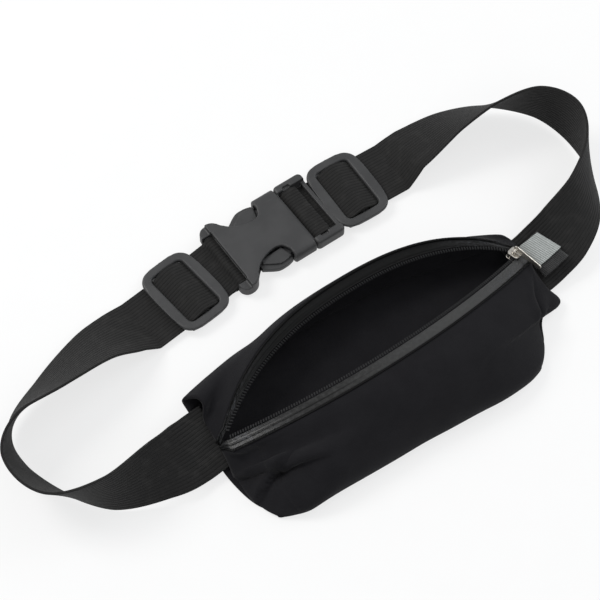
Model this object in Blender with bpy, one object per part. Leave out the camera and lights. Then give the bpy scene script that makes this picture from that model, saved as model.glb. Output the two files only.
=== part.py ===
"""Waist belt with a stretch-cloth pouch, a side-release buckle and two sliding strap adjusters.

The belt lies on a table with the pouch on its back. X runs along the pouch, Y from the pouch
towards the buckle, Z up, and the origin is the middle of the pouch's flat back. Metres.
"""

import math

import bmesh
import bpy
import numpy as np
from mathutils import Matrix, Vector

MM = 0.001

# Clearances
GAP = 0.3 * MM
STRAP_PLAY = 0.4 * MM
SEAM_PLAY = 0.8 * MM
SEAM_GAP = 0.6 * MM

# Webbing
STRAP_WIDTH = 40.0 * MM
STRAP_THICKNESS = 1.6 * MM

# Pouch cloth
CLOTH = 2.0 * MM
POUCH_ROUNDING = 2.4

# Zip
TAPE_WIDTH = 9.0 * MM
TAPE_THICKNESS = 1.0 * MM
CHAIN_WIDTH = 2.2 * MM
CHAIN_HEIGHT = 2.0 * MM
TOOTH_PITCH = 3.0 * MM
ZIP_RIGHT_END = Vector((116.5, 9.5, 19.5)) * MM
ZIP_LEFT_END = Vector((-101, -5, 19)) * MM
ZIP_BOW = 25.0 * MM
ZIP_BOW_ANGLE = math.radians(50)
MOUTH_WIDTH = 49.0 * MM
MOUTH_DROP = 11.0 * MM
SLIDER_LENGTH = 9.0 * MM
SLIDER_STOP = 2.0 * MM
SLIDER_WIDTH = 8.0 * MM
SLIDER_PLATE = 0.9 * MM
BRIDGE_HEIGHT = 3.4 * MM
BRIDGE_WIRE = 1.2 * MM
PULL_LENGTH = 19.0 * MM
PULL_WIDTH = 4.0 * MM
PULL_THICKNESS = 1.0 * MM
PULL_DROOP = math.radians(5)

# Buckle
BUCKLE_MOUTH = Vector((15.4, 111.3, 0)) * MM
BUCKLE_TURN = math.radians(4)
BUCKLE_RAIL = 5.6 * MM
BUCKLE_WIDTH = STRAP_WIDTH + 2 * (STRAP_PLAY + BUCKLE_RAIL)
BUCKLE_BASE = 1.0 * MM
BUCKLE_TOP = 11.6 * MM
BUCKLE_WALL = 2.2 * MM
SOCKET_CAVITY = 42.0 * MM
SOCKET_PLATE_LENGTH = 50.0 * MM
SOCKET_BAR_PLACE = 53.0 * MM
SOCKET_BAR_RADIUS = 2.0 * MM
PLUG_LENGTH = 22.4 * MM
PLUG_TONGUE = 36.0 * MM
PLUG_END_BAR = 3.0 * MM
PLUG_BAR_WIDTH = 9.0 * MM
PLUG_BAR_PLACE = 8.8 * MM
PLUG_BAR_THICKNESS = 3.0 * MM
ARM_THICKNESS = 5.0 * MM
ARM_PIVOT = Vector((-8.0, 16.5)) * MM
ARM_KNUCKLE = 2.2 * MM
BUTTON_START = 17.0 * MM
BUTTON_END = 38.0 * MM

# Adjusters
GLIDE_LENGTH = 36.0 * MM
GLIDE_RAIL = 5.0 * MM
GLIDE_END_BAR = 5.4 * MM
GLIDE_THICKNESS = 3.0 * MM
GLIDE_BAR_RADIUS = 1.6 * MM
LEFT_GLIDE_PLACE = Vector((-85.5, -3.4, 0)) * MM
LEFT_GLIDE_TURN = math.radians(6)
RIGHT_GLIDE_PLACE = Vector((PLUG_LENGTH + 1.2 * MM + GLIDE_LENGTH / 2, -0.7 * MM, 0))
RIGHT_GLIDE_TURN = math.radians(-2.5)

# Ribbon tabs
RIBBON = 0.7 * MM
TAB_START = 1.5 * MM
TAB_LENGTH = 19.0 * MM
TAB_WIDTH = 17.5 * MM
TAB_RISE = 5.0 * MM
LOOP_WIDTH = 25.0 * MM

# Heights of the webbing layers that pass through the buckle hardware
RETURN_LEVEL = 0.4 * MM + STRAP_THICKNESS / 2
RUN_LEVEL = RETURN_LEVEL + STRAP_THICKNESS + GAP
BAR_LEVEL = RUN_LEVEL + STRAP_THICKNESS / 2 + GAP

# Belt routes from the pouch to the adjuster: x, y, z in millimetres and the webbing's tilt in
# degrees, 0 lying flat and 90 standing on edge
LEFT_ROUTE = [
    (-103, 4, 11, 17),
    (-112, 3, 11.2, 18),
    (-123, 0.5, 13.6, 27),
    (-142, -3, 20.5, 49),
    (-178, -1, 22, 86),
    (-205, 17, 20, 116),
    (-215, 46, 21, 108),
    (-203, 69, 24, 69),
    (-171, 80.5, 22.5, 45),
    (-141, 89.5, 18.5, 28),
    (-117, 94.5, 8.5, 10),
]
RIGHT_ROUTE = [
    (114, 2, 9, 14),
    (123, 3, 9.4, 15),
    (134, 4.5, 12.5, 19),
    (151, 8, 19.5, 29),
    (176, 21, 24, 54),
    (197, 46, 23, 80),
    (204, 74, 22, 95),
    (193, 97, 23, 83),
    (167, 110.5, 23, 58),
    (138, 115.5, 19.5, 37),
    (106, 116, 10.5, 15),
]

# Pouch sections in millimetres. Ends are x, y on the end seams, and the middle is y, z. The top
# panel's middle is measured from the rear edge of the mouth.
FRONT_LEFT = [(-110.5, -14), (-109.5, -21), (-107.5, -29), (-103, -44), (-98.5, -56), (-99.5, -50)]
FRONT_MIDDLE = [(-33, 38), (-43, 35), (-53, 28), (-61.5, 15), (-61, 5), (-53, 1)]
FRONT_RIGHT = [(121, -14), (124.5, -25.5), (109.5, -29.5), (101, -43), (90.5, -56), (91.5, -50)]
TOP_LEFT = [(-111, 12), (-111, 24), (-110, 30), (-110.5, 23)]
TOP_MIDDLE = [(3.2, 26), (6.0, 15), (4.5, 6), (-2.5, 1)]
TOP_RIGHT = [(120.5, 20), (119, 25), (116.5, 29.5), (118, 23)]
BACK_LEFT = [(-110.5, 4), (-109, -16), (-104, -34)]
BACK_MIDDLE = [(20, 1), (-10, 1), (-32, 1)]
BACK_RIGHT = [(120, 4), (119, -16), (104, -34)]
LEFT_SEAM = (-111, -4)
RIGHT_SEAM = (121, 12)
FLAT_BACK_SHARE = 0.5
ZIP_START_SHARE = 0.05
ZIP_END_SHARE = 0.97


def clear_scene():
    for old in list(bpy.data.objects):
        bpy.data.objects.remove(old)


def material(name, colour, roughness, metallic=0.0):
    made = bpy.data.materials.new(name)
    made.use_nodes = True
    shader = made.node_tree.nodes["Principled BSDF"]
    shader.inputs["Base Color"].default_value = (*colour, 1)
    shader.inputs["Roughness"].default_value = roughness
    shader.inputs["Metallic"].default_value = metallic
    return made


def add_object(name, mesh, finish=None, parent=None, smooth_angle=35):
    made = bpy.data.objects.new(name, mesh)
    bpy.context.scene.collection.objects.link(made)
    made.parent = parent
    if finish:
        mesh.materials.append(finish)
        mesh.shade_smooth()
        mesh.set_sharp_from_angle(angle=math.radians(smooth_angle))
    return made


def mesh_of(name, bm):
    bmesh.ops.recalc_face_normals(bm, faces=bm.faces)
    mesh = bpy.data.meshes.new(name)
    bm.to_mesh(mesh)
    bm.free()
    return mesh


def combine(target, tool, operation):
    """Cuts or joins with a helper that stays out of the model."""
    modifier = target.modifiers.new(tool.name, "BOOLEAN")
    modifier.operation = operation
    modifier.object = tool
    tool.hide_render = True
    tool.display_type = "WIRE"


def smooth_curve(points, steps, before=None, after=None):
    """Points along a Catmull-Rom curve, heading in from before and out to after if given."""
    p = np.asarray(points, float)
    first = 2 * p[0] - p[1] if before is None else before
    last = 2 * p[-1] - p[-2] if after is None else after
    p = np.vstack([first, p, last])
    found = []
    for i in range(1, len(p) - 2):
        for t in np.arange(steps) / steps:
            found.append(
                p[i]
                + (p[i + 1] - p[i - 1]) * t / 2
                + (p[i - 1] - 2.5 * p[i] + 2 * p[i + 1] - p[i + 2] / 2) * t**2
                + (3 * p[i] - p[i - 1] - 3 * p[i + 1] + p[i + 2]) * t**3 / 2
            )
    found.append(p[-2])
    return np.array(found)


def arc(centre, radius, start, end, count):
    """Points on a circle, with angles in degrees."""
    angles = np.radians(np.linspace(start, end, count))
    return [(centre[0] + radius * math.cos(a), centre[1] + radius * math.sin(a)) for a in angles]


def prism(name, outline, low, high, bevel=0.0, across=None):
    """An outline in the buckle's plane made solid from low to high. across turns it on edge."""
    bm = bmesh.new()
    face = bm.faces.new([bm.verts.new((u, v, low)) for u, v in outline])
    grown = bmesh.ops.extrude_face_region(bm, geom=[face])
    new = [g for g in grown["geom"] if isinstance(g, bmesh.types.BMVert)]
    bmesh.ops.translate(bm, vec=(0, 0, high - low), verts=new)
    if bevel:
        rims = [e for e in bm.edges if abs(e.verts[0].co.z - e.verts[1].co.z) < GAP / 10]
        bmesh.ops.bevel(
            bm, geom=rims, offset=bevel, segments=2, profile=0.5, affect="EDGES", material=-1
        )
    if across:
        bm.transform(across)
    return mesh_of(name, bm)


def rectangle(u0, u1, half_width):
    return [(u0, -half_width), (u1, -half_width), (u1, half_width), (u0, half_width)]


def rounded_rectangle(u0, u1, half_width, radius, count=6):
    corners = [
        ((u1 - radius, half_width - radius), 0),
        ((u0 + radius, half_width - radius), 90),
        ((u0 + radius, radius - half_width), 180),
        ((u1 - radius, radius - half_width), 270),
    ]
    return [p for centre, turn in corners for p in arc(centre, radius, turn, turn + 90, count)]


# A profile drawn in length and height is stood on edge: its second value becomes Z.
ON_EDGE = Matrix(((1, 0, 0, 0), (0, 0, 1, 0), (0, 1, 0, 0), (0, 0, 0, 1)))


def bar(name, profile, half_width):
    """A cross bar of the given length and height profile."""
    return prism(name, profile, -half_width, half_width, across=ON_EDGE)


def sheet(name, rows, thickness, finish):
    """A cloth panel: a grid of points on its middle surface, given its thickness."""
    points = np.array(rows, float)
    normals = np.cross(np.gradient(points, axis=0), np.gradient(points, axis=1))
    normals *= thickness / 2 / np.linalg.norm(normals, axis=2, keepdims=True)
    bm = bmesh.new()
    faces = [points + normals, points - normals]
    grids = [[[bm.verts.new(p) for p in row] for row in grid] for grid in faces]
    for grid in grids:
        for a, b in zip(grid, grid[1:]):
            for i in range(len(a) - 1):
                bm.faces.new((a[i], a[i + 1], b[i + 1], b[i]))
    rims = []
    for grid in grids:
        near = [row[0] for row in grid]
        far = [row[-1] for row in grid]
        rims.append(near + grid[-1][1:] + far[-2::-1] + grid[0][-2:0:-1])
    above, below = rims
    for i in range(len(above)):
        bm.faces.new((above[i - 1], above[i], below[i], below[i - 1]))
    return add_object(name, mesh_of(name, bm), finish)


def ribbon(name, centres, sides, width, thickness, finish, offset=0.0):
    """A band of webbing along its centre points, with the side vector across it at each."""
    bm = bmesh.new()
    rings = []
    last = len(centres) - 1
    for i, (centre, side) in enumerate(zip(centres, sides)):
        along = centres[min(i + 1, last)] - centres[max(i - 1, 0)]
        normal = along.cross(side).normalized() * (thickness / 2)
        left, right = side * (offset + width / 2), side * (offset - width / 2)
        corners = (left + normal, left - normal, right - normal, right + normal)
        rings.append([bm.verts.new(centre + c) for c in corners])
    for a, b in zip(rings, rings[1:]):
        for i in range(4):
            bm.faces.new((a[i], a[i - 1], b[i - 1], b[i]))
    bm.faces.new(rings[0])
    bm.faces.new(rings[-1][::-1])
    return add_object(name, mesh_of(name, bm), finish)


# Buckle frame: u along the belt, v across it, from the middle of the socket's mouth. Each adjuster
# has its own, because the belt bends a little on either side of the buckle.
BUCKLE_MATRIX = Matrix.Translation(BUCKLE_MOUTH) @ Matrix.Rotation(BUCKLE_TURN, 4, "Z")


def glide_matrix(place, turn):
    return BUCKLE_MATRIX @ Matrix.Translation(place) @ Matrix.Rotation(turn, 4, "Z")


LEFT_GLIDE_MATRIX = glide_matrix(LEFT_GLIDE_PLACE, LEFT_GLIDE_TURN)
RIGHT_GLIDE_MATRIX = glide_matrix(RIGHT_GLIDE_PLACE, RIGHT_GLIDE_TURN)


def belt_route(stations, turn):
    """Centre points and side vectors of the curved belt. turn is the way in to the loop."""
    path = smooth_curve(stations, 6)
    centres = [Vector(p[:3]) * MM for p in path]
    sides = []
    for i, p in enumerate(path):
        along = centres[min(i + 1, len(path) - 1)] - centres[max(i - 1, 0)]
        inward = Vector((-along.y, along.x, 0)).normalized() * turn
        upward = along.normalized().cross(inward) * turn
        tilt = math.radians(p[3])
        sides.append(inward * math.cos(tilt) + upward * math.sin(tilt))
    return centres, sides


def straight_route(*runs):
    """Centre points and side vectors of webbing through hardware: each run has its own frame."""
    centres, sides = [], []
    for matrix, profile in runs:
        centres += [matrix @ Vector((u, 0, z)) for u, z in profile]
        sides += [matrix.to_3x3() @ Vector((0, -1, 0))] * len(profile)
    return centres, sides


GLIDE_BAR_LEVEL = RETURN_LEVEL + STRAP_THICKNESS / 2 + GAP + GLIDE_BAR_RADIUS + STRAP_PLAY
GLIDE_WRAP = GLIDE_BAR_RADIUS + STRAP_PLAY + STRAP_THICKNESS / 2
HUMP_LEVEL = GLIDE_BAR_LEVEL + GLIDE_WRAP + STRAP_THICKNESS + GAP


def glide_pass(facing):
    """Webbing under one end bar, over the middle bar and under the other end bar."""
    half = GLIDE_LENGTH / 2
    near = half - GLIDE_END_BAR - STRAP_THICKNESS / 2
    crest = GLIDE_WRAP + STRAP_THICKNESS / 2
    points = [
        (-half - 4 * MM, RUN_LEVEL),
        (-half, RUN_LEVEL),
        (-near, RUN_LEVEL),
        (-crest, HUMP_LEVEL - 1.3 * MM),
        (0, HUMP_LEVEL),
        (crest, HUMP_LEVEL - 1.3 * MM),
        (near, RUN_LEVEL),
        (half, RUN_LEVEL),
    ]
    return [(facing * u, z) for u, z in smooth_curve(points, 4)]


def glide_loop(facing):
    """The sewn end of the webbing, wrapped round the middle bar."""
    turned = arc((0, GLIDE_BAR_LEVEL), GLIDE_WRAP, 270, 20, 14)
    return [(facing * u, z) for u, z in turned]


def left_strap(finish):
    wrap = SOCKET_BAR_RADIUS + STRAP_PLAY + STRAP_THICKNESS / 2
    bar_level = RETURN_LEVEL + wrap
    ears = SOCKET_BAR_PLACE + 5 * MM
    round_bar = [(-ears, (RUN_LEVEL + bar_level + wrap) / 2)]
    round_bar += arc((-SOCKET_BAR_PLACE, bar_level), wrap, 90, -90, 12)
    round_bar.append((-ears, RETURN_LEVEL))
    belt, belt_sides = belt_route(LEFT_ROUTE, -1)
    through, through_sides = straight_route(
        (LEFT_GLIDE_MATRIX, glide_pass(1)),
        (BUCKLE_MATRIX, round_bar),
        (LEFT_GLIDE_MATRIX, glide_loop(1)),
    )
    ribbon(
        "left_strap",
        belt + through,
        belt_sides + through_sides,
        STRAP_WIDTH,
        STRAP_THICKNESS,
        finish,
    )


def plug_bar_level():
    wrap = PLUG_BAR_THICKNESS / 2 + STRAP_PLAY + STRAP_THICKNESS / 2
    return RUN_LEVEL + wrap


def right_strap(finish):
    wrap = PLUG_BAR_THICKNESS / 2 + STRAP_PLAY + STRAP_THICKNESS / 2
    reach = (PLUG_BAR_WIDTH - PLUG_BAR_THICKNESS) / 2
    level = plug_bar_level()
    round_bar = [(PLUG_LENGTH - PLUG_END_BAR - STRAP_THICKNESS / 2, RUN_LEVEL)]
    round_bar += arc((PLUG_BAR_PLACE + reach, level), wrap, 40, 90, 4)
    round_bar += arc((PLUG_BAR_PLACE - reach, level), wrap, 90, 270, 10)
    round_bar.append((PLUG_BAR_PLACE + reach, RETURN_LEVEL))
    round_bar.append((PLUG_LENGTH - PLUG_END_BAR, RETURN_LEVEL))
    belt, belt_sides = belt_route(RIGHT_ROUTE, 1)
    through, through_sides = straight_route(
        (RIGHT_GLIDE_MATRIX, glide_pass(-1)),
        (BUCKLE_MATRIX, round_bar),
        (RIGHT_GLIDE_MATRIX, glide_loop(-1)),
    )
    ribbon(
        "right_strap",
        belt + through,
        belt_sides + through_sides,
        STRAP_WIDTH,
        STRAP_THICKNESS,
        finish,
    )
    return belt, belt_sides


def adjuster(name, frame, finish):
    """A three-bar slide: a rounded frame with a round middle bar set low in its window."""
    half = GLIDE_LENGTH / 2
    window_half = STRAP_WIDTH / 2 + STRAP_PLAY
    outer_half = window_half + GLIDE_RAIL
    outline = rounded_rectangle(-half, half, outer_half, 8 * MM)
    top = BAR_LEVEL + GLIDE_THICKNESS
    body = add_object(name, prism(name, outline, BAR_LEVEL, top, 0.9 * MM), finish)
    body.matrix_world = frame
    inner = half - GLIDE_END_BAR
    opening = rounded_rectangle(-inner, inner, window_half, 2.6 * MM)
    window = prism(name + "_window", opening, BAR_LEVEL - 5 * MM, top + 5 * MM)
    round_bar = bar(
        name + "_bar",
        arc((0, GLIDE_BAR_LEVEL), GLIDE_BAR_RADIUS, 0, 337.5, 16),
        window_half + GLIDE_RAIL / 2,
    )
    for tool, operation in ((window, "DIFFERENCE"), (round_bar, "UNION")):
        combine(body, add_object(tool.name, tool), operation)
        body.modifiers[-1].object.matrix_world = frame


def socket_outline():
    """Half of the hourglass outline, mouth to webbing end, mirrored into a whole."""
    half = BUCKLE_WIDTH / 2
    edge = [(0, half), (-15 * MM, half)]
    waist = [
        (-16.0, -1.6),
        (-16.6, -8.5),
        (-19.0, -12.4),
        (-24.0, -13.6),
        (-31.0, -12.2),
        (-37.0, -9.4),
        (-41.5, -5.2),
        (-45.0, -0.6),
        (-49.0, 1.2),
        (-53.5, 0.8),
        (-56.4, -2.0),
        (-57.0, -5.2),
    ]
    edge += [(u * MM, half + inset * MM) for u, inset in smooth_curve(waist, 2)]
    return edge + [(u, -v) for u, v in reversed(edge)]


def buckle_socket(finish, frame):
    body = add_object(
        "buckle_socket",
        prism("buckle_socket", socket_outline(), BUCKLE_BASE, BUCKLE_TOP, 0.8 * MM),
        finish,
        frame,
    )
    bay_half = STRAP_WIDTH / 2 + STRAP_PLAY
    cavity_half = BUCKLE_WIDTH / 2 - BUCKLE_WALL - 1.2 * MM
    low, high = BUCKLE_BASE + BUCKLE_WALL, BUCKLE_TOP - BUCKLE_WALL
    bay_wall = SOCKET_CAVITY + 3 * MM
    end = SOCKET_BAR_PLACE + 10 * MM
    wrap = SOCKET_BAR_RADIUS + STRAP_PLAY + STRAP_THICKNESS / 2
    bar_level = RETURN_LEVEL + wrap
    under_plate = bar_level + wrap + STRAP_THICKNESS / 2 + GAP
    tools = [
        (prism("socket_cavity", rectangle(-SOCKET_CAVITY, 5 * MM, cavity_half), low, high), "DIFFERENCE"),
        (prism("socket_bay", rectangle(-end, -bay_wall, bay_half), -5 * MM, under_plate), "DIFFERENCE"),
        (
            prism(
                "socket_plate_end",
                rectangle(-end, -SOCKET_PLATE_LENGTH, bay_half),
                0,
                BUCKLE_TOP + 5 * MM,
            ),
            "DIFFERENCE",
        ),
        (
            bar(
                "socket_bar",
                arc((-SOCKET_BAR_PLACE, bar_level), SOCKET_BAR_RADIUS, 0, 337.5, 16),
                bay_half + 2 * MM,
            ),
            "UNION",
        ),
    ]
    for mesh, operation in tools:
        combine(body, add_object(mesh.name, mesh, parent=frame), operation)


def buckle_plug(finish, frame):
    """The half with the tongue: a webbing frame, a base in the socket's mouth and a guide."""
    half = BUCKLE_WIDTH / 2
    rail_inner = STRAP_WIDTH / 2 + STRAP_PLAY
    low, high = BUCKLE_BASE + 0.3 * MM, BUCKLE_TOP - 0.9 * MM
    outline = rounded_rectangle(2 * GAP, PLUG_LENGTH, half, 3 * MM)
    body = add_object(
        "buckle_plug", prism("buckle_plug", outline, low, high, 0.8 * MM), finish, frame
    )
    inner_end = PLUG_LENGTH - PLUG_END_BAR
    base_low = BUCKLE_BASE + BUCKLE_WALL + GAP
    base_high = BUCKLE_TOP - BUCKLE_WALL - GAP
    base_half = half - BUCKLE_WALL - 1.2 * MM - GAP
    level = plug_bar_level()
    reach = (PLUG_BAR_WIDTH - PLUG_BAR_THICKNESS) / 2
    radius = PLUG_BAR_THICKNESS / 2
    oval = arc((PLUG_BAR_PLACE + reach, level), radius, -90, 90, 9)
    oval += arc((PLUG_BAR_PLACE - reach, level), radius, 90, 270, 9)
    window = rectangle(-5 * MM, inner_end, rail_inner)
    under = rectangle(inner_end - MM, PLUG_LENGTH + 5 * MM, rail_inner)
    over = BAR_LEVEL + GLIDE_THICKNESS
    guide_half = 3.2 * MM
    tongue = [(-PLUG_TONGUE, -guide_half / 2), (-6 * MM, -guide_half), (-6 * MM, guide_half)]
    tongue.append((-PLUG_TONGUE, guide_half / 2))
    knuckles = [
        prism(
            f"plug_knuckle_{side}",
            arc((ARM_PIVOT.x, sign * ARM_PIVOT.y), ARM_KNUCKLE + GAP, 0, 345, 24),
            0,
            BUCKLE_TOP + 5 * MM,
        )
        for side, sign in (("far", 1), ("near", -1))
    ]
    guide_low = base_low + 0.8 * MM
    guide_high = base_high - 0.8 * MM
    tools = [
        (prism("plug_window", window, -5 * MM, BUCKLE_TOP + 5 * MM), "DIFFERENCE"),
        (prism("plug_under_bar", under, -5 * MM, BAR_LEVEL), "DIFFERENCE"),
        (prism("plug_over_bar", under, over, BUCKLE_TOP + 5 * MM), "DIFFERENCE"),
        (bar("plug_bar", oval, rail_inner + 2 * MM), "UNION"),
        (prism("plug_base", rectangle(-8 * MM, 1.6 * MM, base_half), base_low, base_high), "UNION"),
        (prism("plug_guide", tongue, guide_low, guide_high), "UNION"),
    ]
    tools += [(mesh, "DIFFERENCE") for mesh in knuckles]
    for mesh, operation in tools:
        combine(body, add_object(mesh.name, mesh, parent=frame), operation)


def release_arm(name, sign, finish, frame):
    """A sprung arm: a round root in the plug's base, a stem and a curved button with grip ribs."""
    half = BUCKLE_WIDTH / 2
    pivot = ARM_PIVOT
    outer = [
        (-BUTTON_START, half - 2.2 * MM),
        (-BUTTON_START - 5 * MM, half - 1.0 * MM),
        (-BUTTON_START - 12 * MM, half - 1.4 * MM),
        (-BUTTON_END, half - 6.8 * MM),
    ]
    inner = [(-BUTTON_END + 0.6 * MM, half - 12 * MM), (-BUTTON_START - 4 * MM, half - 13.4 * MM)]
    stem = 1.8 * MM
    outline = arc(pivot, ARM_KNUCKLE, 125, -90, 12)
    outline += [(pivot.x - 4 * MM, pivot.y - stem)]
    outline += inner[::-1]
    outline += [tuple(p) for p in smooth_curve(outer[::-1], 4)]
    outline += [(-BUTTON_START + GAP, half - 6.2 * MM), (pivot.x - 4 * MM, pivot.y + stem)]
    outline = [(u - pivot.x, sign * (v - pivot.y)) for u, v in outline]
    middle = (BUCKLE_BASE + BUCKLE_TOP) / 2
    mesh = prism(name, outline, middle - ARM_THICKNESS / 2, middle + ARM_THICKNESS / 2)
    arm = add_object(name, mesh, finish, frame)
    arm.location = (pivot.x, sign * pivot.y, 0)


# Zip geometry: the front row of teeth lies on a circle, so that the slider can run along it
ZIP_CHORD = (ZIP_RIGHT_END - ZIP_LEFT_END).normalized()
ZIP_HALF = (ZIP_RIGHT_END - ZIP_LEFT_END).length / 2
ZIP_OUT = Vector((0, -math.cos(ZIP_BOW_ANGLE), math.sin(ZIP_BOW_ANGLE)))
ZIP_OUT = (ZIP_OUT - ZIP_CHORD * ZIP_OUT.dot(ZIP_CHORD)).normalized()
ZIP_RADIUS = (ZIP_HALF**2 + ZIP_BOW**2) / (2 * ZIP_BOW)
ZIP_CENTRE = (ZIP_RIGHT_END + ZIP_LEFT_END) / 2 + ZIP_OUT * (ZIP_BOW - ZIP_RADIUS)
ZIP_AXIS = ZIP_OUT.cross(ZIP_CHORD).normalized()
ZIP_SWEEP = math.asin(ZIP_HALF / ZIP_RADIUS)
ZIP_FACE = Vector((0, -1, 0)) - ZIP_CHORD * Vector((0, -1, 0)).dot(ZIP_CHORD)
ZIP_FACE.normalize()


def zip_turn(angle):
    """The turn about the zip's axis from its middle to an angle along it."""
    return Matrix.Rotation(angle, 3, ZIP_AXIS)


def front_chain(angle):
    return ZIP_CENTRE + zip_turn(angle) @ (ZIP_OUT * ZIP_RADIUS)


def front_side(angle):
    """The way across the front tape, from the teeth to the stitched edge."""
    return zip_turn(angle) @ ZIP_FACE


def mouth_gap(angle):
    share = 1 - abs(angle / ZIP_SWEEP) ** 2.2
    spread = Vector((0, MOUTH_WIDTH, -MOUTH_DROP * max(share, 0))) * max(share, 0)
    return spread - front_side(angle) * (CHAIN_WIDTH + 2 * GAP)


def rear_chain(angle):
    return front_chain(angle) + mouth_gap(angle)


def rear_side(angle):
    """The way across the rear tape: it lies flat at the zip's ends and hangs in the open mouth."""
    hang = max(1 - (angle / ZIP_SWEEP) ** 4, 0)
    return Vector((0, 1 - 0.25 * hang, 0.05 + 0.55 * hang)).normalized()


def seam_height(end, y):
    """Height of the webbing's middle along an end seam, level where the seam is closed."""
    x0, y0, z0, tilt = (LEFT_ROUTE if end < 0 else RIGHT_ROUTE)[1]
    return max(3.6, z0 + (y - y0) * math.tan(math.radians(tilt))) * MM


SEAM_LIFT = STRAP_THICKNESS / 2 + SEAM_PLAY + CLOTH / 2


def seam_point(point, end, level):
    """A point on an end seam: level is 1 above the webbing, 0 at a fold and -1 below it."""
    x, y = point
    z = seam_height(end, y) + level * SEAM_LIFT
    return Vector((x * MM, y * MM, max(z, CLOTH / 2)))


def swell(left, middle, right, share, flat):
    """A point of a pouch section, between the end seams and the full middle section."""
    place = 2 * share - 1
    end = left if place < 0 else right
    full = Vector((0, middle[0] * MM, middle[1] * MM))
    weight = 1 - abs(place) ** POUCH_ROUNDING
    x = left.x + (right.x - left.x) * share
    y = end.y + (full.y - end.y) * weight
    if flat:
        weight = 1 - max(0, (abs(place) - FLAT_BACK_SHARE) / (1 - FLAT_BACK_SHARE)) ** 2
    z = end.z + (full.z - end.z) * weight
    return Vector((x, y, z))


def pouch_stations():
    """Shares of the pouch's length, closer together at the ends where the zip stops."""
    inner = np.linspace(ZIP_START_SHARE, ZIP_END_SHARE, 21)
    return [0, ZIP_START_SHARE / 2, *inner, (1 + ZIP_END_SHARE) / 2, 1]


def zip_angle(share):
    return (2 * (share - ZIP_START_SHARE) / (ZIP_END_SHARE - ZIP_START_SHARE) - 1) * ZIP_SWEEP


def to_seam(share, line, shift):
    """A lengthwise line of the zip, run on from the zip's ends and down into the end seams."""
    if ZIP_START_SHARE <= share <= ZIP_END_SHARE:
        return line(zip_angle(share))
    if share < 0.5:
        end, seam, way = -1, LEFT_SEAM, 1 - share / ZIP_START_SHARE
    else:
        end, seam, way = 1, RIGHT_SEAM, (share - ZIP_END_SHARE) / (1 - ZIP_END_SHARE)
    start = line(end * ZIP_SWEEP)
    stop = seam_point(seam, end, 1) + Vector((0, shift, 0))
    point = start.lerp(stop, way)
    point.z = start.z + (stop.z - start.z) * way**2
    return point


TAPE_INSET = CHAIN_WIDTH / 2 + GAP


def front_edge(share):
    return to_seam(share, lambda a: front_chain(a) + front_side(a) * TAPE_WIDTH, -2.4 * MM)


def front_inner_edge(share):
    return to_seam(share, lambda a: front_chain(a) + front_side(a) * TAPE_INSET, -GAP)


def rear_edge(share):
    """The rear tape narrows towards its ends, where the mouth closes."""

    def line(angle):
        width = TAPE_WIDTH * (1 - 0.6 * abs(angle / ZIP_SWEEP) ** 3)
        return rear_chain(angle) + rear_side(angle) * width

    return to_seam(share, line, 2.4 * MM)


def rear_inner_edge(share):
    return to_seam(share, lambda a: rear_chain(a) + rear_side(a) * TAPE_INSET, GAP)


def section_line(points, level, flat):
    """A lengthwise line of the pouch from its two end points and its middle point."""
    left, middle, right = points
    a, b = seam_point(left, -1, level), seam_point(right, 1, level)
    return lambda share: swell(a, middle, b, share, flat)


def panel(lines, before=None, after=None, trim=(0, 0)):
    """Rows of a pouch panel through lengthwise lines. before and after set its end slopes."""
    rows = []
    for share in pouch_stations():
        ends = [line(share) if line else None for line in (before, after)]
        row = smooth_curve([line(share) for line in lines], 3, *ends)
        row = [Vector((x, y, max(z, CLOTH / 2))) for x, y, z in row]
        row[0] += (row[1] - row[0]).normalized() * trim[0]
        row[-1] += (row[-2] - row[-1]).normalized() * trim[1]
        rows.append(row)
    return rows


def pouch(finish):
    front = [
        section_line(points, level, level < 0)
        for *points, level in zip(FRONT_LEFT, FRONT_MIDDLE, FRONT_RIGHT, (1, 1, 1, 1, 0, -1))
    ]
    lip = rear_edge(0.5).y / MM
    top_middle = [(lip + y, z) for y, z in TOP_MIDDLE]
    top = [
        section_line(points, level, level < 0)
        for *points, level in zip(TOP_LEFT, top_middle, TOP_RIGHT, (1, 1, 0, -1))
    ]
    back = [
        section_line(points, -1, True) for points in zip(BACK_LEFT, BACK_MIDDLE, BACK_RIGHT)
    ]
    rows = panel([front_edge, *front], front_inner_edge, back[-1], (SEAM_GAP, 0))
    sheet("pouch_front_panel", rows, CLOTH, finish)
    rows = panel([rear_edge, *top], rear_inner_edge, back[0], (2 * SEAM_GAP, 0))
    sheet("pouch_top_panel", rows, CLOTH, finish)
    rows = panel([top[-1], *back, front[-1]], trim=(SEAM_GAP, SEAM_GAP))
    sheet("pouch_back_panel", rows, CLOTH, finish)


def zip_tapes(finish):
    stations = pouch_stations()
    front = [[front_inner_edge(s), front_edge(s)] for s in stations]
    rear = [[rear_inner_edge(s), rear_edge(s)] for s in stations]
    sheet("zip_tape_front", front, TAPE_THICKNESS, finish)
    sheet("zip_tape_rear", rear, TAPE_THICKNESS, finish)


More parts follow.
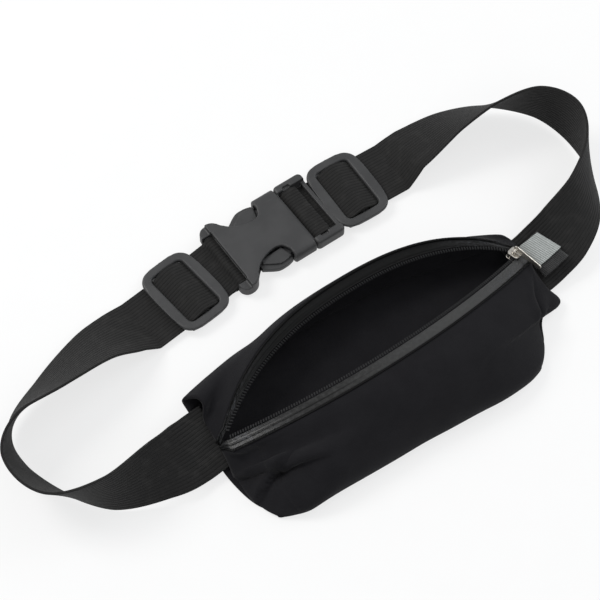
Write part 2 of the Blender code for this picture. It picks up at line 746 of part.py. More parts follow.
def zip_teeth(name, line, across, finish):
    """A row of teeth: a cord with a tooth at each pitch, reaching into the mouth."""
    count = 2 * int(2 * ZIP_SWEEP * ZIP_RADIUS / TOOTH_PITCH)
    bm = bmesh.new()
    rings = []
    for i in range(count + 1):
        angle = (2 * i / count - 1) * ZIP_SWEEP * 0.985
        centre, side = line(angle), across(angle)
        along = line(angle + 0.001) - line(angle - 0.001)
        normal = along.cross(side).normalized() * (CHAIN_HEIGHT / 2)
        reach = CHAIN_WIDTH / 2 if i % 2 else CHAIN_WIDTH / 6
        outer, inner = side * (CHAIN_WIDTH / 2), side * -reach
        corners = (outer + normal, outer - normal, inner - normal, inner + normal)
        rings.append([bm.verts.new(centre + c) for c in corners])
    for a, b in zip(rings, rings[1:]):
        for i in range(4):
            bm.faces.new((a[i], a[i - 1], b[i - 1], b[i]))
    bm.faces.new(rings[0])
    bm.faces.new(rings[-1][::-1])
    add_object(name, mesh_of(name, bm), finish)


def zip_slider(finish):
    """Two plates with a post between them and a bridge on top, at the zip's right end."""
    angle = ZIP_SWEEP - SLIDER_STOP / ZIP_RADIUS
    turn = zip_turn(angle)
    across = -(turn @ ZIP_FACE)
    along = turn @ ZIP_CHORD
    up = along.cross(across)
    middle = front_chain(angle) + across * (CHAIN_WIDTH / 2 + GAP)
    frame = Matrix.Translation(middle) @ Matrix((along, across, up)).transposed().to_4x4()
    half = SLIDER_LENGTH / 2
    inside = CHAIN_HEIGHT / 2 + GAP
    outside = inside + SLIDER_PLATE
    plate = rounded_rectangle(-half, half, SLIDER_WIDTH / 2, 2.4 * MM, 5)
    body = add_object("zip_slider", prism("zip_slider", plate, inside, outside), finish)
    post = arc((-half + 1.4 * MM, 0.9 * MM), 0.55 * MM, 0, 315, 8)
    top = outside + BRIDGE_HEIGHT
    reach = half - 1.6 * MM
    drop = outside - SLIDER_PLATE / 2
    arch = [(-reach, drop), (-reach, top - MM), (-reach + MM, top), (reach - MM, top)]
    arch += [(reach, top - MM), (reach, drop)]
    inner = reach - BRIDGE_WIRE
    under = top - BRIDGE_WIRE
    arch += [(inner, drop), (inner, under), (-inner, under), (-inner, drop)]
    tools = [
        prism("slider_lower_plate", plate, -outside, -inside),
        prism("slider_post", post, -outside + SLIDER_PLATE / 2, outside - SLIDER_PLATE / 2),
        bar("slider_bridge", arch, BRIDGE_WIRE / 2),
    ]
    for mesh in tools:
        combine(body, add_object(mesh.name, mesh), "UNION")
        body.modifiers[-1].object.matrix_world = frame
    body.matrix_world = frame
    return frame @ Matrix.Translation((0, 0, top - BRIDGE_WIRE / 2))


def zip_pull(finish, frame):
    """A flat pull whose eye goes round the slider's bridge, fallen over to the front."""
    half = PULL_WIDTH / 2
    outline = arc((0, 0), half, 0, 180, 9)
    outline += [(-half * 0.7, -PULL_LENGTH + MM), (-half * 0.4, -PULL_LENGTH)]
    outline += [(half * 0.4, -PULL_LENGTH), (half * 0.7, -PULL_LENGTH + MM)]
    pull = add_object(
        "zip_pull",
        prism("zip_pull", outline, -PULL_THICKNESS / 2, PULL_THICKNESS / 2),
        finish,
    )
    eye = prism("pull_eye", arc((0, 0), BRIDGE_WIRE, 0, 330, 12), -5 * MM, 5 * MM)
    combine(pull, add_object(eye.name, eye), "DIFFERENCE")
    # The flat of the pull faces along the zip, and its length points to the front.
    lay = Matrix(((0, 0, 1, 0), (0, 1, 0, 0), (-1, 0, 0, 0), (0, 0, 0, 1)))
    lay = Matrix.Rotation(PULL_DROOP, 4, "X") @ lay
    pull.matrix_world = frame @ lay
    pull.modifiers[-1].object.matrix_world = pull.matrix_world


def ribbon_tab(name, belt, sides, width, offset, inset, finish):
    """A folded ribbon sewn in the right end seam, lying on the belt."""
    low = STRAP_THICKNESS / 2 + GAP + RIBBON / 2 + inset
    high = low + TAB_RISE - 2 * inset
    radius = (high - low) / 2
    length = TAB_LENGTH - inset
    fold = arc((length - radius, (low + high) / 2), radius, -90, 90, 9)
    profile = [(TAB_START, low), (length / 2, low), *fold, (length / 2, high)]
    profile.append((TAB_START, high - (RIBBON if inset else GAP)))
    seam = Vector(RIGHT_ROUTE[1][:3]) * MM
    starts = [(p - seam).length * (1 if p.x >= seam.x else -1) for p in belt]
    centres, across = [], []
    for reach, height in profile:
        i = max(k for k, d in enumerate(starts[: len(belt) // 2]) if d <= reach)
        t = (reach - starts[i]) / (starts[i + 1] - starts[i])
        here, there = belt[i], belt[i + 1]
        side = sides[i].lerp(sides[i + 1], t).normalized()
        normal = (there - here).cross(side).normalized()
        centres.append(here.lerp(there, t) + normal * height)
        across.append(side)
    ribbon(name, centres, across, width, RIBBON, finish, offset)


def main():
    clear_scene()
    cloth = material("stretch cloth", (0.013, 0.012, 0.015), 0.85)
    webbing = material("elastic webbing", (0.021, 0.02, 0.021), 0.8)
    plastic = material("moulded plastic", (0.065, 0.065, 0.066), 0.5)
    tape = material("coated zip tape", (0.03, 0.03, 0.032), 0.4)
    teeth = material("zip teeth", (0.02, 0.02, 0.021), 0.45)
    nickel = material("nickel", (0.52, 0.5, 0.45), 0.25, 1.0)
    grey = material("reflective ribbon", (0.34, 0.36, 0.35), 0.5)
    black = material("black ribbon", (0.02, 0.02, 0.021), 0.8)

    frame = bpy.data.objects.new("buckle_frame", None)
    bpy.context.scene.collection.objects.link(frame)
    frame.matrix_world = BUCKLE_MATRIX

    pouch(cloth)
    zip_tapes(tape)
    zip_teeth("zip_teeth_front", front_chain, front_side, teeth)
    zip_teeth("zip_teeth_rear", rear_chain, rear_side, teeth)
    zip_pull(nickel, zip_slider(nickel))

    left_strap(webbing)
    belt, sides = right_strap(webbing)
    ribbon_tab("reflective_tab", belt, sides, TAB_WIDTH, 4.5 * MM, 0, grey)
    ribbon_tab("loop_ribbon", belt, sides, LOOP_WIDTH, MM, RIBBON + GAP, black)

    adjuster("left_adjuster", LEFT_GLIDE_MATRIX, plastic)
    adjuster("right_adjuster", RIGHT_GLIDE_MATRIX, plastic)
    buckle_socket(plastic, frame)
    buckle_plug(plastic, frame)
    release_arm("release_arm_far", 1, plastic, frame)
    release_arm("release_arm_near", -1, plastic, frame)


main()
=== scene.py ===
"""Waist belt with a stretch-cloth zip pouch: the pieces, their finishes, light and camera."""

import math

import bmesh
import bpy
import numpy as np
from mathutils import Matrix, Vector


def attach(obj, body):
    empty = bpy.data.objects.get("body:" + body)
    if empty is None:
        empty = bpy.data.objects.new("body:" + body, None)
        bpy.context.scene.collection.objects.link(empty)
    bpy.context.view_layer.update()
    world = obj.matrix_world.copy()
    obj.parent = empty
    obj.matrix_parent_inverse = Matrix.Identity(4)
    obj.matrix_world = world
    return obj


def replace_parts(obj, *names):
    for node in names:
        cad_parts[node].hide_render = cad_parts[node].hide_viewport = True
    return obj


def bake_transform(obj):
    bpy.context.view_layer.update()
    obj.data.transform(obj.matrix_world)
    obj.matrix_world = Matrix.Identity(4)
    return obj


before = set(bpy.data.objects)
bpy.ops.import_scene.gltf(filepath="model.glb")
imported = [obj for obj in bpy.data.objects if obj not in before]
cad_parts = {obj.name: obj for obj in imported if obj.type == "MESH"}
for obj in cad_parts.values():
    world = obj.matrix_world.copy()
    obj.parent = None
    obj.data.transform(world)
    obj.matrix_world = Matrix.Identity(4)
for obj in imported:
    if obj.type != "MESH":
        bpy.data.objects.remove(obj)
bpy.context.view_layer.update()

MM = 0.001

# Webbing
STRAP_WIDTH = 40.0 * MM
STRAP_THICKNESS = 1.6 * MM
RIB_PITCH = 2.2 * MM
RETURN_LEVEL = 1.2 * MM
RUN_LEVEL = 3.1 * MM
LEFT_ROUTE = [
    (-103, 4, 11, 17),
    (-112, 3, 11.2, 18),
    (-123, 0.5, 13.6, 27),
    (-142, -3, 20.5, 49),
    (-178, -1, 22, 86),
    (-205, 17, 20, 116),
    (-215, 46, 21, 108),
    (-203, 69, 24, 69),
    (-171, 80.5, 22.5, 45),
    (-141, 89.5, 18.5, 28),
    (-117, 94.5, 8.5, 10),
]
RIGHT_ROUTE = [
    (114, 2, 9, 14),
    (123, 3, 9.4, 15),
    (134, 4.5, 12.5, 19),
    (151, 8, 19.5, 29),
    (176, 21, 24, 54),
    (197, 46, 23, 80),
    (204, 74, 22, 95),
    (193, 97, 23, 83),
    (167, 110.5, 23, 58),
    (138, 115.5, 19.5, 37),
    (106, 116, 10.5, 15),
]

# Buckle and adjusters
BUCKLE_MATRIX = Matrix.Translation((0.0154, 0.1113, 0)) @ Matrix.Rotation(math.radians(4), 4, "Z")
LEFT_GLIDE_MATRIX = (
    BUCKLE_MATRIX
    @ Matrix.Translation((-0.0855, -0.0034, 0))
    @ Matrix.Rotation(math.radians(6), 4, "Z")
)
RIGHT_GLIDE_MATRIX = (
    BUCKLE_MATRIX
    @ Matrix.Translation((0.0416, -0.0007, 0))
    @ Matrix.Rotation(math.radians(-2.5), 4, "Z")
)
BUCKLE_HALF = 26.0 * MM
BUCKLE_BASE = 1.0 * MM
BUCKLE_TOP = 11.6 * MM
BUCKLE_WALL = 2.2 * MM
BAY_HALF = 20.4 * MM
SOCKET_BAR = (-53.0 * MM, 4.4 * MM)
PLUG_LENGTH = 22.4 * MM
PLUG_BAR = (8.8 * MM, 5.8 * MM)
PLUG_BAR_REACH = 3.0 * MM
ARM_PIVOT = (-8.0 * MM, 16.5 * MM)
GLIDE_HALF_LENGTH = 18.0 * MM
GLIDE_HALF_WIDTH = 25.4 * MM
GLIDE_BASE = 4.2 * MM
GLIDE_TOP = 7.2 * MM
GLIDE_BAR_LEVEL = 4.3 * MM
GLIDE_END_BAR = 5.9 * MM
GLIDE_CORNER = 8.0 * MM
WINDOW_CORNER = 3.4 * MM
CUT_TOP = 20.0 * MM

# Zip
ZIP_RIGHT_END = Vector((116.5, 9.5, 19.5)) * MM
ZIP_LEFT_END = Vector((-101, -5, 19)) * MM
ZIP_BOW = 25.0 * MM
ZIP_BOW_ANGLE = math.radians(50)
MOUTH_WIDTH = 49.0 * MM
MOUTH_DROP = 11.0 * MM
TAPE_WIDTH = 9.0 * MM
TAPE_THICKNESS = 1.0 * MM
TAPE_INSET = 1.4 * MM
CHAIN_WIDTH = 2.2 * MM
CHAIN_HEIGHT = 2.0 * MM
TOOTH_PITCH = 1.7 * MM
SLIDER_STOP = 2.0 * MM

# Pouch cloth
CLOTH = 2.0 * MM
SEAM_LAP = 1.5 * MM
SEAM_LIFT = 2.6 * MM
ZIP_START_SHARE = 0.05
ZIP_END_SHARE = 0.97
FLAT_BACK_SHARE = 0.5
POUCH_ROUNDING = 2.4
BOTTOM_ROUNDING = 9.0
PANEL_ROWS = 200
PANEL_STEPS = 12
TAPE_ROWS = 120
TAPE_COLUMNS = 29
STITCHES = 122
FRONT_LEFT = [(-107, -14), (-107.5, -21), (-107.5, -29), (-104, -44), (-98, -56.5), (-99, -51)]
FRONT_MIDDLE = [(-33, 38), (-43, 35), (-53, 28), (-61.5, 15), (-62.6, 5), (-54, 1)]
FRONT_RIGHT = [(122.5, -13.5), (125.5, -26), (108, -29), (101, -43), (90.5, -56), (93, -52.5)]
FRONT_LEVELS = [1.4, 0.2, -0.3, -0.9, -0.9, -1]
TOP_LEFT = [(-107, 12), (-105, 23), (-111.5, 29.5), (-111.5, 23)]
TOP_MIDDLE = [(3.2, 26), (6, 15), (4.5, 6), (-2.5, 1)]
TOP_RIGHT = [(120.5, 20), (117.5, 25), (110, 29), (113, 23)]
TOP_LEVELS = [1, 1, 0, -1]
BACK_LEFT = [(-111, 4), (-111, -16), (-108, -34), (-104, -45)]
BACK_MIDDLE = [(20, 1), (-10, 1), (-32, 1), (-44, 1)]
BACK_RIGHT = [(120, 4), (121.5, -17), (109, -31), (102, -43)]
BACK_RIGHT_LIFT = [0, 1.5, 0, 0]
LEFT_SEAM = (-106.5, -4)
RIGHT_SEAM = (121, 12)

# Dents and folds: two places as shares along and across a panel, the push at either end and the
# width in mm. A dent goes in where its push is below 0; a fold lifts one side and drops the other.
FRONT_DENTS = [
    ((0.098, 0.515), (0.165, 0.525), -8.0, -3.0, 6.0),
    ((0.115, 0.72), (0.24, 0.60), 1.6, 1.2, 8.0),
    ((0.975, 0.26), (0.950, 0.35), -0.5, -2.5, 3.0),
    ((0.35, 0.38), (0.52, 0.62), -1.3, -1.3, 15.0),
    ((0.68, 0.45), (0.80, 0.72), 1.0, 1.0, 13.0),
]
FRONT_FOLDS = [
    ((0.030, 0.40), (0.200, 0.50), -3.6, -1.6, 7.0),
    ((0.101, 0.465), (0.021, 0.60), 3.8, 1.4, 6.0),
    ((0.956, 0.08), (0.912, 0.29), 0.4, 2.4, 5.0),
]
TOP_DENTS = [
    ((0.0, 0.48), (0.11, 0.42), 5.0, 0.5, 6.5),
    ((0.0, 0.22), (0.06, 0.20), -1.2, -0.4, 4.0),
    ((0.25, 0.55), (0.38, 0.6), -1.5, -1.5, 11.0),
    ((0.90, 0.35), (0.98, 0.45), 1.8, 1.2, 8.0),
]
FOLD_ROUNDING = 0.7 * MM

# Ribbon loops at the right end
RIBBON = 0.7 * MM
TAB_LENGTH = 20.5 * MM
TAB_RISE = 5.0 * MM


# Materials


class Value:
    """A number in a material's nodes. Arithmetic on it adds Math nodes."""

    def __init__(self, finish, socket):
        self.finish = finish
        self.socket = socket

    def math(self, operation, *values):
        return self.finish.node(
            "ShaderNodeMath", {"operation": operation}, dict(enumerate(values))
        )

    def __add__(self, other):
        return self.math("ADD", self, other)

    def __radd__(self, other):
        return self.math("ADD", other, self)

    def __sub__(self, other):
        return self.math("SUBTRACT", self, other)

    def __rsub__(self, other):
        return self.math("SUBTRACT", other, self)

    def __mul__(self, other):
        return self.math("MULTIPLY", self, other)

    def __rmul__(self, other):
        return self.math("MULTIPLY", other, self)

    def __truediv__(self, other):
        return self.math("DIVIDE", self, other)

    def floor(self):
        return self.math("FLOOR", self)

    def size(self):
        return self.math("ABSOLUTE", self)

    def ridges(self, pitch, shift=0.0):
        """Rounded ridges with sharp grooves between them: 0 in a groove, 1 on a ridge."""
        turned = (self / pitch + shift) * math.pi
        return turned.math("SINE", turned).size()

    def between(self, low, high):
        """A smooth step from 0 at low to 1 at high."""
        return self.finish.node(
            "ShaderNodeMapRange",
            {"interpolation_type": "SMOOTHSTEP"},
            {"Value": self, "From Min": low, "From Max": high},
        )


class Finish:
    """A procedural material for one kind of surface."""

    def __init__(self, name, **fixed):
        self.material = bpy.data.materials.new(name)
        self.material.use_nodes = True
        self.tree = self.material.node_tree
        self.shader = self.tree.nodes["Principled BSDF"]
        self.give(**fixed)

    def node(self, kind, settings=None, sockets=None, output=0):
        made = self.tree.nodes.new(kind)
        for name, value in (settings or {}).items():
            setattr(made, name, value)
        for name, value in (sockets or {}).items():
            self.join(value, made.inputs[name])
        return Value(self, made.outputs[output])

    def join(self, value, socket):
        if isinstance(value, Value):
            self.tree.links.new(value.socket, socket)
        else:
            socket.default_value = value

    def give(self, **sockets):
        for name, value in sockets.items():
            self.join(value, self.shader.inputs[name.replace("_", " ")])

    def place(self):
        return self.node("ShaderNodeTexCoord", output=3)

    def cloth_place(self):
        """The piece's own map in metres: the whole, the way along and the way across."""
        whole = self.node("ShaderNodeUVMap", {"uv_map": "UVMap"})
        parts = self.node("ShaderNodeSeparateXYZ", sockets={0: whole})
        return whole, parts, Value(self, parts.socket.node.outputs[1])

    def scaled(self, place, scale):
        return self.node("ShaderNodeMapping", sockets={"Vector": place, "Scale": scale})

    def noise(self, place, scale, detail=2.0, roughness=0.5, distortion=0.0):
        return self.node(
            "ShaderNodeTexNoise",
            sockets={
                "Vector": place,
                "Scale": scale,
                "Detail": detail,
                "Roughness": roughness,
                "Distortion": distortion,
            },
        )

    def mix(self, share, first, second):
        colours = [c if isinstance(c, Value) else (*c, 1) for c in (first, second)]
        return self.node(
            "ShaderNodeMix",
            {"data_type": "RGBA"},
            {0: share, 6: colours[0], 7: colours[1]},
            output=2,
        )

    def bump(self, height, distance):
        sockets = {"Height": height, "Distance": distance, "Strength": 1.0}
        self.give(Normal=self.node("ShaderNodeBump", sockets=sockets))


def webbing_finish():
    """Black elastic webbing: lengthwise ribs of fine yarn, with lighter worn threads and painted
    shade in the grooves between the ribs.
    """
    f = Finish(
        "elastic webbing", Sheen_Weight=0.05, Sheen_Roughness=0.45, Specular_IOR_Level=0.16
    )
    whole, along, across = f.cloth_place()
    rib = across.ridges(RIB_PITCH)
    row = (across / RIB_PITCH).floor()
    yarn = along.ridges(0.9 * MM, row * 0.5)
    worn = f.noise(whole, 140, 4)
    thread = f.noise(f.scaled(whole, (900, 2600, 1)), 1.0, 2)
    # painted shade: the grooves between the ribs are coloured darker than the ridges
    colour = f.mix(rib.between(0.0, 0.5), (0.0075, 0.0075, 0.0075), (0.0172, 0.0168, 0.0165))
    colour = f.mix(yarn * 0.3, colour, (0.005, 0.005, 0.005))
    colour = f.mix(worn.between(0.45, 0.75) * 0.35, colour, (0.036, 0.035, 0.034))
    f.give(Base_Color=f.mix(thread.between(0.62, 0.8) * rib * 0.3, colour, (0.052, 0.051, 0.049)))
    f.give(Roughness=0.62 + worn * 0.3)
    f.bump(rib.between(0.0, 0.9) * 0.6 + yarn * rib * 0.4, 0.26 * MM)
    return f.material


def cloth_finish():
    """Matt black stretch knit with a fine grain, a faint bloom and a painted highlight on its knit
    loops.
    """
    f = Finish(
        "stretch cloth", Sheen_Weight=0.05, Sheen_Roughness=0.5, Specular_IOR_Level=0.12
    )
    whole, along, across = f.cloth_place()
    wale = across.ridges(0.75 * MM)
    course = along.ridges(0.6 * MM, (across / (0.75 * MM)).floor() * 0.5)
    bloom = f.noise(whole, 45, 4, 0.6)
    lint = f.noise(whole, 1500, 2)
    colour = f.mix(bloom.between(0.3, 0.7), (0.0062, 0.0059, 0.0074), (0.0098, 0.0095, 0.0112))
    # painted highlight: the knit loops, where wale and course ridges meet, are coloured lighter
    colour = f.mix(wale * course * 0.25, colour, (0.0135, 0.0132, 0.0148))
    f.give(Base_Color=f.mix(lint.between(0.7, 0.85) * 0.3, colour, (0.032, 0.032, 0.035)))
    f.give(Roughness=0.72 + bloom * 0.25)
    f.bump(wale * 0.6 + wale * course * 0.4, 0.12 * MM)
    return f.material


def film_finish(name, left, right):
    """Zip tape under a satin coating, crinkled and shiny at the zip's ends, with painted light in
    its colour: a painted sheen paler to the right, painted highlights on the crinkles, painted
    shade along its crease and a painted shadow along the stitched seam.
    """
    f = Finish(name, Specular_IOR_Level=0.15, Coat_Roughness=0.22)
    whole, along, across = f.cloth_place()
    end = along.size().between(0.055, 0.1)
    crinkle = f.noise(f.scaled(whole, (170, 300, 1)), 1.0, 3, 0.5, 1.6)
    crease = f.node(
        "ShaderNodeTexVoronoi",
        {"feature": "DISTANCE_TO_EDGE"},
        {"Vector": f.scaled(whole, (240, 340, 1)), "Scale": 1.0},
    )
    weave = (along + across).ridges(0.7 * MM)
    worn = f.noise(whole, 400, 3)
    # painted light: the tape is painted paler towards the right, as sheen
    colour = f.mix(along.between(-0.07, 0.05), (left,) * 3, (right,) * 3)
    colour = f.mix(worn.between(0.35, 0.75) * 0.35, colour, (right * 1.4,) * 3)
    # painted shade: a thin dark line along the tape's crease, only in its left half
    line = 1 - (across + 0.4 * MM).size().between(0.15 * MM, 0.5 * MM)
    line = line * (1 - along.between(-0.06, -0.01))
    colour = f.mix(line * 0.8, colour, (0.003, 0.003, 0.003))
    # painted highlight: lighter bluish flecks on the crinkles near the zip's ends
    colour = f.mix(end * crinkle.between(0.5, 0.7) * 0.5, colour, (0.06, 0.062, 0.07))
    # painted shadow: a near-black serrated line along the tape's outer edge, where it tucks under
    # the panel at the stitched seam
    sewn = (across + along.ridges(1.9 * MM) * (0.35 * MM)).between(2.6 * MM, 2.85 * MM)
    f.give(Base_Color=f.mix(sewn, colour, (0.001, 0.001, 0.001)))
    f.give(Roughness=0.55 - end * 0.2 + worn * 0.12, Coat_Weight=end * 0.2 * (1 - sewn))
    f.bump(
        end * (crinkle + crease.between(0.0, 0.25) * 0.35) + weave * 0.06 + crinkle * 0.1, 0.9 * MM
    )
    return f.material


def teeth_finish():
    f = Finish("zip teeth", Specular_IOR_Level=0.25)
    worn = f.noise(f.place(), 900, 2)
    f.give(Base_Color=f.mix(worn, (0.006, 0.006, 0.0065), (0.017, 0.017, 0.018)))
    f.give(Roughness=0.5 + worn * 0.25)
    f.bump(worn, 0.05 * MM)
    return f.material


def plastic_finish():
    """Moulded charcoal plastic with a fine spark grain and faint rub marks."""
    f = Finish("moulded plastic", Specular_IOR_Level=0.45)
    place = f.place()
    grain = f.noise(place, 2600, 2, 0.6)
    flow = f.noise(place, 60, 3)
    rub = f.noise(f.scaled(place, (90, 900, 400)), 1.0, 3, 0.6, 0.4)
    colour = f.mix(flow.between(0.3, 0.7), (0.030, 0.030, 0.031), (0.040, 0.040, 0.041))
    f.give(Base_Color=f.mix(rub.between(0.62, 0.8) * 0.2, colour, (0.08, 0.08, 0.078)))
    f.give(Roughness=0.40 + grain * 0.16 + flow * 0.08)
    f.bump(grain, 0.06 * MM)
    return f.material


def nickel_finish():
    """Nickel plate with fine scratches and a little tarnish."""
    f = Finish("nickel plate", Metallic=1.0)
    place = f.place()
    scratch = f.noise(f.scaled(place, (300, 4000, 4000)), 1.0, 2, 0.6)
    tarnish = f.noise(place, 700, 3)
    f.give(Base_Color=f.mix(tarnish.between(0.45, 0.8), (0.62, 0.59, 0.54), (0.36, 0.33, 0.28)))
    f.give(Roughness=0.18 + scratch * 0.16 + tarnish * 0.08)
    f.bump(scratch, 0.02 * MM)
    return f.material


def ribbon_finish(name, groove, ridge, worn_colour, pitch, roughness):
    """Grosgrain ribbon: ribs across its length, with painted shade in the grooves between them."""
    f = Finish(name, Sheen_Weight=0.1, Sheen_Roughness=0.4, Specular_IOR_Level=0.4)
    whole, along, across = f.cloth_place()
    rib = along.ridges(pitch)
    yarn = across.ridges(0.45 * MM, (along / pitch).floor() * 0.5)
    worn = f.noise(whole, 350, 3)
    # painted shade: the grooves take the darker groove colour, the ridges the lighter ridge colour
    colour = f.mix(rib.between(0.05, 0.6), groove, ridge)
    f.give(Base_Color=f.mix(worn.between(0.4, 0.75) * 0.4, colour, worn_colour))
    f.give(Roughness=roughness + worn * 0.15)
    f.bump(rib * 0.94 + rib * yarn * 0.06, 0.3 * MM)
    return f.material


def thread_finish():
    f = Finish("sewing thread", Sheen_Weight=0.1, Specular_IOR_Level=0.4)
    place = f.place()
    twist = f.noise(place, 5000, 1)
    f.give(Base_Color=f.mix(twist, (0.003, 0.003, 0.003), (0.012, 0.012, 0.013)))
    f.give(Roughness=0.5 + twist * 0.2)
    f.bump(twist, 0.05 * MM)
    return f.material


# Shapes


def smooth_curve(points, steps, before=None, after=None):
    """Points along a Catmull-Rom curve, heading in from before and out to after if given."""
    p = np.asarray(points, float)
    first = 2 * p[0] - p[1] if before is None else before
    last = 2 * p[-1] - p[-2] if after is None else after
    p = np.vstack([first, p, last])
    t = np.arange(steps)[:, None] / steps
    found = [
        p[i]
        + (p[i + 1] - p[i - 1]) * t / 2
        + (p[i - 1] - 2.5 * p[i] + 2 * p[i + 1] - p[i + 2] / 2) * t**2
        + (3 * p[i] - p[i - 1] - 3 * p[i + 1] + p[i + 2]) * t**3 / 2
        for i in range(1, len(p) - 2)
    ]
    return np.vstack([*found, p[-2]])


def arc(centre, radius, start, end, count):
    """Points on a circle, with angles in degrees."""
    angles = np.radians(np.linspace(start, end, count))
    return [(centre[0] + radius * math.cos(a), centre[1] + radius * math.sin(a)) for a in angles]


def unit(vectors):
    return vectors / np.linalg.norm(vectors, axis=-1, keepdims=True)


def mesh_of(bm, name):
    mesh = bpy.data.meshes.new(name)
    bm.to_mesh(mesh)
    bm.free()
    return mesh


def bevelled(bm, edges, offset, segments):
    bmesh.ops.bevel(
        bm, geom=edges, offset=offset, segments=segments, profile=0.5, affect="EDGES", material=-1
    )


def new_object(name, mesh, finish=None):
    made = bpy.data.objects.new(name, mesh)
    bpy.context.scene.collection.objects.link(made)
    if finish:
        mesh.materials.append(finish)
        mesh.shade_smooth()
    return made


def settled(made):
    """The object with its modifiers worked into its mesh."""
    scene = bpy.context.evaluated_depsgraph_get()
    mesh = bpy.data.meshes.new_from_object(made.evaluated_get(scene))
    mesh.name = made.name
    old = made.data
    made.modifiers.clear()
    made.data = mesh
    bpy.data.meshes.remove(old)
    return made


def distances(points, axis):
    """How far each point of a grid is along the cloth, from the middle line."""
    steps = np.linalg.norm(np.diff(points, axis=axis), axis=2)
    start = np.zeros_like(steps[:1] if axis == 0 else steps[:, :1])
    run = np.cumsum(np.concatenate([start, steps], axis=axis), axis=axis)
    return run - np.take(run, [run.shape[axis] // 2], axis=axis)


def cloth(name, points, thickness, finish, rim, rim_ends=True):
    """A grid of cloth or webbing through the given points, with its own map in metres."""
    points = np.asarray(points, float)
    rows, columns = points.shape[0] - 1, points.shape[1] - 1
    along, across = distances(points, 0), distances(points, 1)
    bm = bmesh.new()
    chart = bm.loops.layers.uv.new("UVMap")
    weight = bm.verts.layers.deform.verify()
    bmesh.ops.create_grid(bm, x_segments=rows, y_segments=columns, size=1)
    spots = {}
    for vert in bm.verts:
        i, j = round((vert.co.x + 1) / 2 * rows), round((vert.co.y + 1) / 2 * columns)
        at_edge = j in (0, columns) or (rim_ends and i in (0, rows))
        vert[weight][0] = rim if at_edge else 1.0
        vert.co = points[i, j]
        spots[vert] = (along[i, j], across[i, j])
    for face in bm.faces:
        for loop in face.loops:
            loop[chart].uv = spots[loop.vert]
    made = new_object(name, mesh_of(bm, name), finish)
    made.vertex_groups.new(name="thickness")
    wall = made.modifiers.new("wall", "SOLIDIFY")
    wall.thickness = thickness
    wall.offset = 0
    wall.vertex_group = "thickness"
    return settled(made)


def even_steps(centres, sides, step):
    """A route with its points evenly spaced."""
    centres, sides = np.asarray(centres), np.asarray(sides)
    run = np.concatenate([[0], np.cumsum(np.linalg.norm(np.diff(centres, axis=0), axis=1))])
    spots = np.linspace(0, run[-1], max(2, round(run[-1] / step)) + 1)
    spread = [np.interp(spots, run, values) for values in (*centres.T, *sides.T)]
    return np.array(spread[:3]).T, unit(np.array(spread[3:]).T)


def band(
    name, centres, sides, width, thickness, finish, offset=0.0, columns=24, step=1.3 * MM, pinch=0.0
):
    """A flat band of webbing or ribbon along a route. pinch narrows its ends."""
    centres, sides = even_steps(centres, sides, step)
    edge = thickness / 2 / width
    inner = np.linspace(-0.5 + edge, 0.5 - edge, columns)
    across = np.concatenate([[-0.5, -0.5 + edge / 3], inner, [0.5 - edge / 3, 0.5]])
    narrow = 1 - pinch * np.linspace(-1, 1, len(centres))[:, None, None] ** 4
    points = centres[:, None] + sides[:, None] * (offset + across[:, None] * width * narrow)
    return cloth(name, points, thickness, finish, rim=0.3, rim_ends=False)


def outlined(outline, low, high, bevel=0.0, top=None, lay=None):
    """A solid from an outline, from low to high. top is another outline for its upper face."""
    bm = bmesh.new()
    face = bm.faces.new([bm.verts.new((u, v, low)) for u, v in outline])
    grown = bmesh.ops.extrude_face_region(bm, geom=[face])
    raised = [g for g in grown["geom"] if isinstance(g, bmesh.types.BMFace)][0]
    for vert, (u, v) in zip(raised.verts, top or outline):
        vert.co = (u, v, high)
    if bevel:
        rims = [e for e in bm.edges if abs(e.verts[0].co.z - e.verts[1].co.z) < 0.01 * MM]
        bevelled(bm, rims, bevel, 4)
    if lay:
        bm.transform(lay)
    bmesh.ops.recalc_face_normals(bm, faces=bm.faces)
    return mesh_of(bm, "outlined")


def rectangle(u0, u1, half_width):
    return [(u0, -half_width), (u1, -half_width), (u1, half_width), (u0, half_width)]


def rounded_rectangle(u0, u1, v0, v1, radius, count=8, sides=1):
    """An outline with count points round each corner, and its straight sides in equal steps."""
    corners = [
        ((u1 - radius, v1 - radius), 0),
        ((u0 + radius, v1 - radius), 90),
        ((u0 + radius, v0 + radius), 180),
        ((u1 - radius, v0 + radius), 270),
    ]
    arcs = [arc(centre, radius, turn, turn + 90, count) for centre, turn in corners]
    found = []
    for here, ahead in zip(arcs, arcs[1:] + arcs[:1]):
        start, end = np.array(here[-1]), np.array(ahead[0])
        found += here + [tuple(start + (end - start) * i / sides) for i in range(1, sides)]
    return found


# An outline of length and height stands on edge, and one of width and height runs along the belt.
ON_EDGE = Matrix(((1, 0, 0, 0), (0, 0, 1, 0), (0, 1, 0, 0), (0, 0, 0, 1)))
END_ON = Matrix(((0, 0, 1, 0), (1, 0, 0, 0), (0, 1, 0, 0), (0, 0, 0, 1)))


def cross_bar(profile, half_width):
    return outlined(profile, -half_width, half_width, lay=ON_EDGE)


def moulded(name, first, steps, place, grain, finish, soften=4):
    """A piece cast in one: solids joined or cut in turn, with their edges softened."""
    body = new_object(name, first)
    tools = []
    for operation, mesh in steps:
        tools.append(new_object("tool", mesh))
        step = body.modifiers.new("step", "BOOLEAN")
        step.operation, step.object, step.solver = operation, tools[-1], "EXACT"
    cast = body.modifiers.new("cast", "REMESH")
    cast.mode, cast.voxel_size = "VOXEL", grain
    soft = body.modifiers.new("soft", "SMOOTH")
    soft.factor, soft.iterations = 0.5, soften
    body.modifiers.new("fewer", "DECIMATE").ratio = 0.5
    settled(body)
    for tool in tools:
        bpy.data.meshes.remove(tool.data)
    body.data.transform(place)
    body.data.materials.append(finish)
    body.data.shade_smooth()
    return body


# Belt


